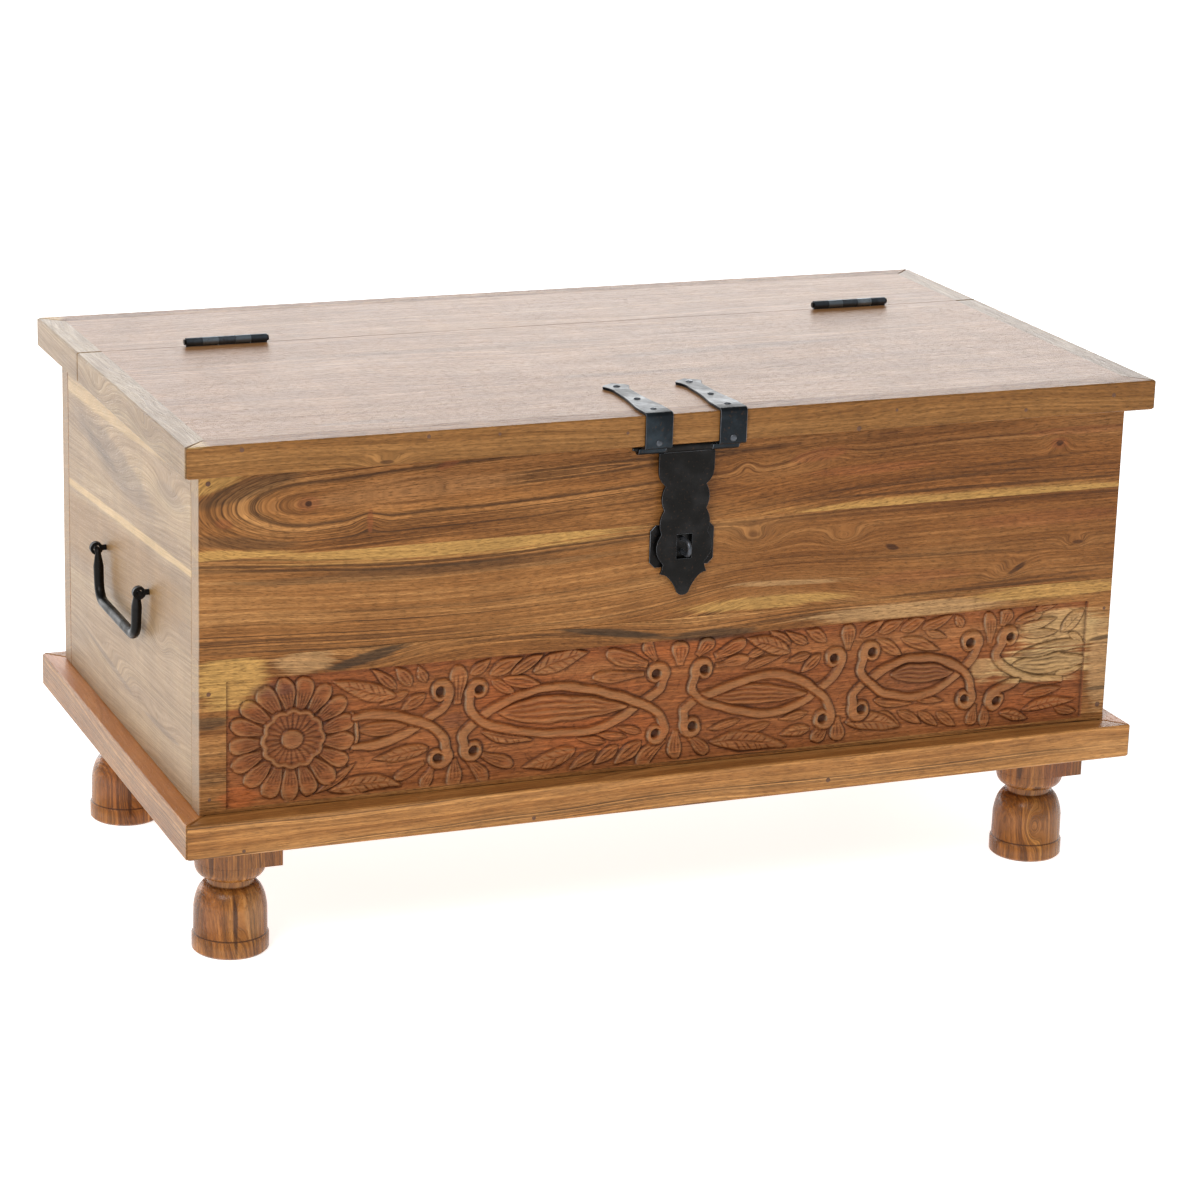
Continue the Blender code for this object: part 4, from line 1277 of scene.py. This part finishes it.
# Finishes of the wood, one for each board that shows its own figure
upper_front = figured_wood(
    "upper_front_wood", "xzy", honey_browns, 3.1, sway=0.014, tilt=-0.045, heart=(-338, 409, 0.37),
    rings=130.0, end_grain=end_grey,
    bends=(
        ((230, 385, 130, 35), 12),
        ((-285, 390, 12, 10), 6),
        ((135, 418, 30, 8), 10),
        ((60, 413, 10, 7), 8),
        ((368, 412, 12, 8), 10),
    ),
    patches=(
        ((-250, 414, 110, 12, 0.045), heart_brown, 0.75),
        ((-390, 426, 60, 9, 0.28), grey_heart, 0.50),
        ((-400, 380, 60, 6, -0.12), grey_heart, 0.45),
        ((-425, 432, 45, 10, 0.3), sapwood, 0.9),
        ((-415, 369, 85, 6, -0.05), sapwood, 0.85),
        ((290, 368, 190, 7.5), sapwood, 0.85),
        ((240, 405, 300, 35), dull_brown, 0.46),
        ((280, 377.8, 180, 1.6), streak_brown, 0.60),
        ((250, 388, 140, 1.8, 0.035), streak_brown, 0.50),
        ((330, 398.5, 90, 1.6, 0.05), streak_brown, 0.45),
        ((180, 402, 70, 5, 0.02), red_brown, 0.40),
        ((390, 423, 60, 4), red_brown, 0.40),
        ((-338, 409, 12, 8), red_brown, 0.45),
        ((-338, 409, 3.5, 3), knot_brown, 0.9),
        ((368, 412, 10, 6), red_brown, 0.5),
        ((368, 412, 4, 3), knot_brown, 0.8),
        ((-215, 434.5, 12, 4, 0.3), red_brown, 0.6),
        ((-284, 390, 3, 11), red_brown, 0.6),
        ((-411, 397, 9, 5, -0.2), red_brown, 0.5),
        ((130, 418, 30, 6, 0.1), red_brown, 0.45),
    ),
)
middle_front = figured_wood(
    "middle_front_wood", "xzy", honey_browns, 8.4, sway=0.010, rings=190.0, contrast=0.82,
    end_grain=end_grey,
    bends=(
        ((-220, 345, 200, 90), 16),
        ((90, 285, 85, 35), -24),
        ((70, 345, 24, 11), 16),
        ((157, 340, 20, 9), 14),
        ((325, 297, 20, 8, 0.3), 10),
        ((390, 318, 12, 6), 10),
    ),
    patches=(
        ((270, 330, 260, 60), dull_brown, 0.42),
        ((310, 283, 130, 1.8, 0.012), streak_brown, 0.60),
        ((350, 288, 80, 1.4, 0.03), streak_brown, 0.45),
        ((240, 318, 110, 1.6, -0.03), streak_brown, 0.40),
        ((360, 344, 90, 8), red_brown, 0.35),
        ((230, 298, 60, 7), red_brown, 0.35),
        ((-210, 366, 175, 14), sapwood, 0.86),
        ((85, 287, 85, 6.5), sapwood, 0.8),
        ((105, 303.5, 60, 3, -0.04), cream, 0.7),
        ((-240, 343, 190, 5.5), grey_heart, 0.45),
        ((205, 328, 8, 3, -0.2), knot_brown, 0.8),
        ((333, 298, 10, 3, 0.5), knot_brown, 0.7),
        ((393, 318, 6, 2), knot_brown, 0.7),
    ),
)
carved_wood = figured_wood(
    "carved_front_wood", "xzy", honey_browns, 5.7, sway=0.020, end_grain=end_grey, carved=True,
    bends=(
        ((-290, 262, 60, 30, 0.2), 12),
        ((0, 262, 100, 20), 10),
    ),
    patches=(
        ((-405, 262, 35, 30), sapwood, 0.9),
        ((-340, 272, 30, 12), cream, 0.7),
        ((-285, 270.5, 40, 5.5, 0.22), grey_heart, 0.85),
        ((-60, 271.5, 55, 3.8, -0.15), grey_heart, 0.85),
        ((35, 261.5, 50, 6), grey_heart, 0.75),
        ((230, 268, 120, 7.5), cream, 0.9),
        ((370, 273.5, 90, 9), sapwood, 0.75),
        ((-398, 156, 20, 10), orange_brown, 0.6),
        ((-150, 215, 50, 30), orange_brown, 0.28),
        ((-60, 178, 70, 16), orange_brown, 0.40),
        ((20, 245, 70, 10), orange_brown, 0.35),
        ((245, 205, 40, 18), violet_brown, 0.30),
        ((360, 165, 50, 12), orange_brown, 0.35),
        ((306, 203, 15, 13), side_cream, 0.42),
        ((-352, 205, 55, 48), rosette_brown, 0.56),
        ((385, 234, 50, 22), side_cream, 0.62),
        ((-368, 248, 22, 7), violet_brown, 0.55),
        ((-205, 205, 12, 8), violet_brown, 0.35),
        ((365, 203, 55, 19), side_cream, 0.72),
        ((425, 200, 14, 50), cream, 0.70),
        ((425, 223.5, 16, 2.2, 0.08), grey_heart, 0.7),
        ((425, 175, 16, 2.2), grey_heart, 0.7),
        ((-425, 225, 20, 6), grey_heart, 0.7),
        ((-425, 176, 18, 8), grey_heart, 0.4),
    ),
)
lid_top = figured_wood(
    "lid_top_wood", "xyz", lid_browns, 12.5, sway=0.09, streaks=0.20, contrast=0.62, specular=0.34,
    dashes=0.35,
    patches=(
        ((120, -30, 140, 10, 0.05), grey_heart, 0.26),
        ((20, -100, 100, 8, -0.03), grey_heart, 0.20),
        ((-280, -205, 50, 6), grey_heart, 0.26),
        ((-100, 30, 160, 10, 0.02), grey_heart, 0.16),
    ),
)
lid_edge = figured_wood(
    "lid_edge_wood", "xzy", edge_browns, 17.2, sway=0.07, streaks=0.25, contrast=0.8,
    bends=(((-277.6, 446.2, 20, 6), 8),),
    patches=(
        ((-277.6, 446.2, 6, 2), knot_brown, 0.7),
        ((-442, 470.5, 14, 1.6), side_cream, 0.7),
    ),
)
lid_end = figured_wood(
    "lid_end_wood", "yzx", dimmed(side_browns, 0.86), 21.9, sway=0.05, streaks=0.3, contrast=0.6,
    specular=0.26, fine=0.30, dashes=0.4,
    patches=(((-212, 477.6, 34, 2.2), side_cream, 0.75),),
    bends=(
        ((30, 452, 50, 14), 16),
        ((-125, 456, 35, 12, 0.1), 16),
    ),
)
side_wood = figured_wood(
    "side_wood", "yzx", side_browns, 26.3, sway=0.05, tilt=0.070, streaks=0.30, contrast=0.52, specular=0.3,
    fine=0.20, dashes=0.3, feather=0.45,
    bends=(
        ((50, 380, 110, 22, 0.12), 16),
        ((-140, 400, 45, 16), 18),
        ((50, 188, 90, 14, 0.078), 14),
        ((-110, 184, 60, 14, -0.04), 12),
        ((-106, 264, 22, 13), 12),
    ),
    patches=(
        ((46, 384, 150, 20, 0.1), side_grey, 0.52),
        ((90, 384, 70, 6, 0.137), grey_heart, 0.28),
        ((-140, 400, 50, 10), side_grey, 0.34),
        ((20, 426, 300, 10, -0.054), side_cream, 0.55),
        ((60, 296, 280, 36, -0.063), golden_tan, 0.70),
        ((0, 337, 400, 4.2, -0.063), side_cream, 0.70),
        ((60, 190, 90, 3.5, 0.078), side_grey, 0.50),
        ((-110, 184, 60, 3.5, -0.04), side_grey, 0.50),
    ),
)
back_wood = figured_wood("back_wood", "xzy", honey_browns, 31.4, sway=0.06, end_grain=end_grey)
# Faces that look up are turned dull brown: painted shade on the ledge under the body.
plinth_wood = figured_wood("plinth_wood", "xzy", plinth_browns, 36.8, sway=0.05, streaks=0.8, specular=0.24,
                           rings=170.0, dashes=0.55, ledge=(dull_brown, 0.35))
# Faces that look up are turned a paler orange: painted light on the tops of the plinth's ends.
plinth_end = figured_wood(
    "plinth_end_wood", "yzx", dimmed(plinth_browns, 0.73), 41.2, sway=0.05, streaks=0.5, specular=0.30,
    dashes=0.6, ledge=(ledge_orange, 0.5),
)
# Heights of the dark rings round the feet: painted shade in the groove near the base and where the neck and
# bowl meet.
foot_line = 16.5
neck_line = 61.5
bowl_line = 68.0
all_round = 10000.0
foot_wood = figured_wood(
    "foot_wood", "zxy", foot_browns, 46.6, sway=0.05, streaks=0.5, contrast=1.15, gloss=(0.30, 0.20),
    specular=0.38, rings=150.0, dashes=0.5,
    bends=(
        ((36, -394, 30, 8), 10),
        ((36, 379.5, 16, 8), 18),
    ),
    patches=(
        ((35, -412, 26, 9), red_brown, 0.30),
        ((40, -376, 30, 9), cream, 0.30),
        ((34, -394, 30, 2.2), knot_brown, 0.75),
        ((94, -412.5, 22, 1.8), knot_brown, 0.75),
        ((90, -391.4, 18, 1.2), knot_brown, 0.55),
        ((92, 367.2, 14, 2), knot_brown, 0.75),
        ((71, 383.3, 3.5, 4.5), knot_brown, 0.75),
        ((95, 400, 30, 20), red_brown, 0.45),
        # Dark rings all round the foot: painted shade in its groove and joints.
        ((foot_line, 0, 0.7, all_round), cut_brown, 0.75),
        ((neck_line, 0, 0.9, all_round), cut_brown, 0.25),
        ((bowl_line, 0, 0.7, all_round), cut_brown, 0.45),
    ),
)
floor_wood = figured_wood("floor_board_wood", "xyz", honey_browns, 52.1, sway=0.06)

iron = blackened_iron("blackened_iron", tint(26, 25, 24), tint(36, 35, 35), 0.0)
# Paler iron: on eased edges it stands for wear and a painted glint, on the staple and nail heads for a
# painted glint.
rubbed_glinting_iron = blackened_iron("rubbed_glinting_iron_finish", tint(84, 88, 94), tint(136, 140, 146), 2.0)
strap_iron = blackened_iron("strap_iron", tint(29, 34, 38), tint(46, 54, 60), 4.0, gloss=(0.46, 0.30))
# The hinge irons are paler and bluer than the rest of the iron: painted sheen of their reflection.
glinting_hinge_iron = blackened_iron("glinting_hinge_iron", tint(66, 72, 78), tint(96, 104, 112), 6.0)
glinting_knuckle_iron = blackened_iron(
    "glinting_knuckle_iron", tint(112, 122, 130), tint(146, 156, 164), 8.0, gloss=(0.44, 0.30),
)
filler = wood_filler("nail_hole_filler")

# Wooden pieces
lid_whole = box_of("lid_front_strip", "lid_left_strip", "lid_right_strip", "rail_back_strip")
carcass_whole = box_of("front_board_lower", "front_board_upper", "back_board_lower")
plinth_whole = box_of("plinth_front", "plinth_left", "plinth_right", "plinth_back")
across_x = ((0, -1), (0, 1))
across_y = ((1, -1), (1, 1))
across_z = ((2, -1), (2, 1))
row_seams = {"lower": ((2, 1),), "middle": across_z, "upper": ((2, -1),)}
side_ease = 0.0010
board_ease = 0.0012
lid_ease = 0.0014
plinth_ease = 0.0018
floor_ease = 0.0006
for side, inner in (("left", 1), ("right", -1)):
    for row, seams in row_seams.items():
        eased(f"{side}_board_{row}", side_wood, "wood", side_ease, whole=carcass_whole, flush=seams)
    eased(f"plinth_{side}", plinth_end, "wood", plinth_ease, whole=plinth_whole)
    eased(f"lid_{side}_strip", lid_end, "wood", lid_ease, whole=lid_whole, flush=((0, inner),))
    eased(f"rail_{side}_strip", lid_end, "wood", lid_ease, whole=lid_whole, flush=((0, inner),))
    for end in ("front", "back"):
        eased(f"corner_block_{end}_{side}", foot_wood, "wood", 0.0, flush=across_z)
        eased(f"foot_{end}_{side}", foot_wood, "wood", 0.0)
for row, seams in row_seams.items():
    eased(f"back_board_{row}", back_wood, "wood", board_ease, whole=carcass_whole, flush=seams)
for row, finish in (("upper", upper_front), ("middle", middle_front)):
    eased(f"front_board_{row}", finish, "wood", board_ease, whole=carcass_whole, flush=row_seams[row])
for end in ("front", "back"):
    eased(f"plinth_{end}", plinth_wood, "wood", plinth_ease, whole=plinth_whole)
for number in (1, 2, 3):
    eased(f"lid_board_{number}", lid_top, "wood", 0.0, flush=across_y + across_x, chamfer=board_chamfer)
    eased(f"floor_board_{number}", floor_wood, "wood", floor_ease)
eased("rail_board", lid_top, "wood", 0.0, flush=across_y + across_x, chamfer=board_chamfer)
eased("lid_front_strip", lid_edge, "wood", lid_ease, whole=lid_whole, flush=((1, 1),))
eased("rail_back_strip", lid_edge, "wood", lid_ease, whole=lid_whole, flush=((1, -1),))
carved_front(carved_wood)

# Iron pieces
plate_ease = 0.0005
strap_ease = 0.0006
small_iron_ease = 0.0002
# Their eased edges in the paler iron: wear, and painted glint.
for node in ("hasp", "back_plate", "hasp_rod"):
    eased(node, iron, "iron", plate_ease, rub_and_highlight=rubbed_glinting_iron)
# The staple all in the paler iron: painted glint.
eased("staple", rubbed_glinting_iron, "iron", plate_ease)
# The straps' eased edges in the paler iron: wear, and painted glint.
for side in ("left", "right"):
    eased(f"strap_{side}", strap_iron, "iron", strap_ease, rub_and_highlight=rubbed_glinting_iron)
for side in ("left", "right"):
    eased(f"bail_{side}", iron, "iron", 0.0)
    for end in ("front", "back"):
        eased(f"bail_eye_{side}_{end}", iron, "iron", small_iron_ease)
    # Hinge leaves in the paler irons: painted sheen.
    eased(f"hinge_lid_leaf_{side}", glinting_hinge_iron, "iron", small_iron_ease)
    eased(f"hinge_rail_leaf_{side}", glinting_knuckle_iron, "iron", small_iron_ease)
    eased(f"hinge_pin_{side}", iron, "iron", small_iron_ease)

# Nail heads on the straps, and the filled nail holes in the wood
stud_tree = studded_tree()
up = (0.0, 0.0, 1.0)
out = (0.0, -1.0, 0.0)
strap_low, strap_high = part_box("strap_left")
strap_top = strap_high.z
strap_face = strap_low.y
nail_width = 0.0062
nail_height = 0.0013
nail_spread = 0.08
nail_columns = (-0.0345, 0.0345)
nail_rows = (-0.153, -0.200, -0.236)
front_nail_level = 0.446
strap_nails = []
for x in nail_columns:
    for y in nail_rows:
        strap_nails.append(((x, y, strap_top), up))
    strap_nails.append(((x, strap_face, front_nail_level), out))
# Nail heads in the paler iron: painted glint.
studs("strap_nails", stud_tree, strap_nails, nail_width, nail_height, nail_spread, rubbed_glinting_iron,
      "lid", "iron")

lid_hole_width = 0.0036
body_hole_width = 0.0040
hole_height = 0.00015
hole_spread = 0.25
lid_hole_spots = (
    (-0.4022, 0.4652), (-0.2412, 0.4655), (-0.1784, 0.4633), (-0.0625, 0.4562), (0.1553, 0.4455),
    (0.1911, 0.4596), (0.3187, 0.4512), (0.4069, 0.4591),
)
front_hole_spots = (
    (-0.4243, 0.4324), (-0.4242, 0.2508), (-0.4236, 0.1575), (0.4256, 0.2519), (0.4255, 0.1591),
)
plinth_hole_spots = ((-0.3998, 0.1165), (-0.1388, 0.1174), (0.1425, 0.1223))


def holes_in(board, spots):
    """The filled holes in the front face of a board, each with the way that it faces."""
    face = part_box(board)[0].y
    return [((x, face, z), out) for x, z in spots]


lid_holes = holes_in("lid_front_strip", lid_hole_spots)
studs("lid_filled_holes", stud_tree, lid_holes, lid_hole_width, hole_height, hole_spread, filler,
      "lid", "wood")
body_holes = holes_in("front_board_upper", front_hole_spots) + holes_in("plinth_front", plinth_hole_spots)
studs("body_filled_holes", stud_tree, body_holes, body_hole_width, hole_height, hole_spread, filler,
      "carcass", "wood")


# Floor, light and camera

floor_width = 300.0


def pale_floor():
    finish = Finish("pale_floor")
    place = finish.place()
    cloud = finish.noise(finish.vector(place["x"], place["y"], place["z"]), 1.3, 3.0)
    colour = finish.mix(cloud, (0.88, 0.88, 0.88, 1.0), (0.92, 0.92, 0.92, 1.0))
    finish.join(finish.shader.inputs["Base Color"], colour)
    finish.set(Roughness=0.9, Specular_IOR_Level=0.1, Emission_Strength=0.76)
    finish.set(Emission_Color=(1.0, 1.0, 1.0, 1.0))
    half = floor_width / 2.0
    corners = [(-half, -half, 0), (half, -half, 0), (half, half, 0), (-half, half, 0)]
    mesh = bpy.data.meshes.new("floor")
    mesh.from_pydata(corners, [], [(0, 1, 2, 3)])
    mesh.materials.append(finish.material)
    floor = bpy.data.objects.new("floor", mesh)
    bpy.context.scene.collection.objects.link(floor)


def softbox(name, place, target, width, height, power):
    light = bpy.data.lights.new(name, "AREA")
    light.shape = "RECTANGLE"
    light.size = width
    light.size_y = height
    light.energy = power
    lamp = bpy.data.objects.new(name, light)
    lamp.location = place
    lamp.rotation_euler = (Vector(target) - Vector(place)).to_track_quat("-Z", "Y").to_euler()
    bpy.context.scene.collection.objects.link(lamp)


pale_floor()
world = bpy.data.worlds.new("studio")
bpy.context.scene.world = world
world.use_nodes = True
world.node_tree.nodes["Background"].inputs["Color"].default_value = (1.0, 1.0, 1.0, 1.0)
world.node_tree.nodes["Background"].inputs["Strength"].default_value = 0.40
softbox("front_key", (-2.6, -2.6, 3.2), (0.0, 0.0, 0.2), 1.6, 1.6, 105.0)
softbox("back_glow", (1.5, 4.6, 1.9), (0.0, 0.0, 0.4), 5.0, 2.6, 135.0)
softbox("left_glow", (-1.7, 3.6, 0.75), (-0.4, 0.0, 0.3), 2.6, 1.3, 38.0)
bpy.context.scene.view_settings.view_transform = "Standard"

camera_place = Vector((-1.24574, -3.05832, 1.23080))
camera_turn = math.radians(-22.4721)
camera_rise = math.radians(16.8440)
camera_lean = math.radians(1.7307)
back_way = Vector((
    math.sin(camera_turn) * math.cos(camera_rise),
    -math.cos(camera_turn) * math.cos(camera_rise),
    math.sin(camera_rise),
))
level = (-back_way).cross(Vector((0.0, 0.0, 1.0))).normalized()
upright = level.cross(-back_way)
right_way = level * math.cos(camera_lean) + upright * math.sin(camera_lean)
up_way = upright * math.cos(camera_lean) - level * math.sin(camera_lean)
lens = bpy.data.cameras.new("camera")
lens.sensor_width = 36.0
lens.lens = 111.317
lens.clip_end = 600.0
camera = bpy.data.objects.new("camera", lens)
turned = Matrix((right_way, up_way, back_way)).transposed().to_4x4()
camera.matrix_world = Matrix.Translation(camera_place) @ turned
bpy.context.scene.collection.objects.link(camera)
bpy.context.scene.camera = camera
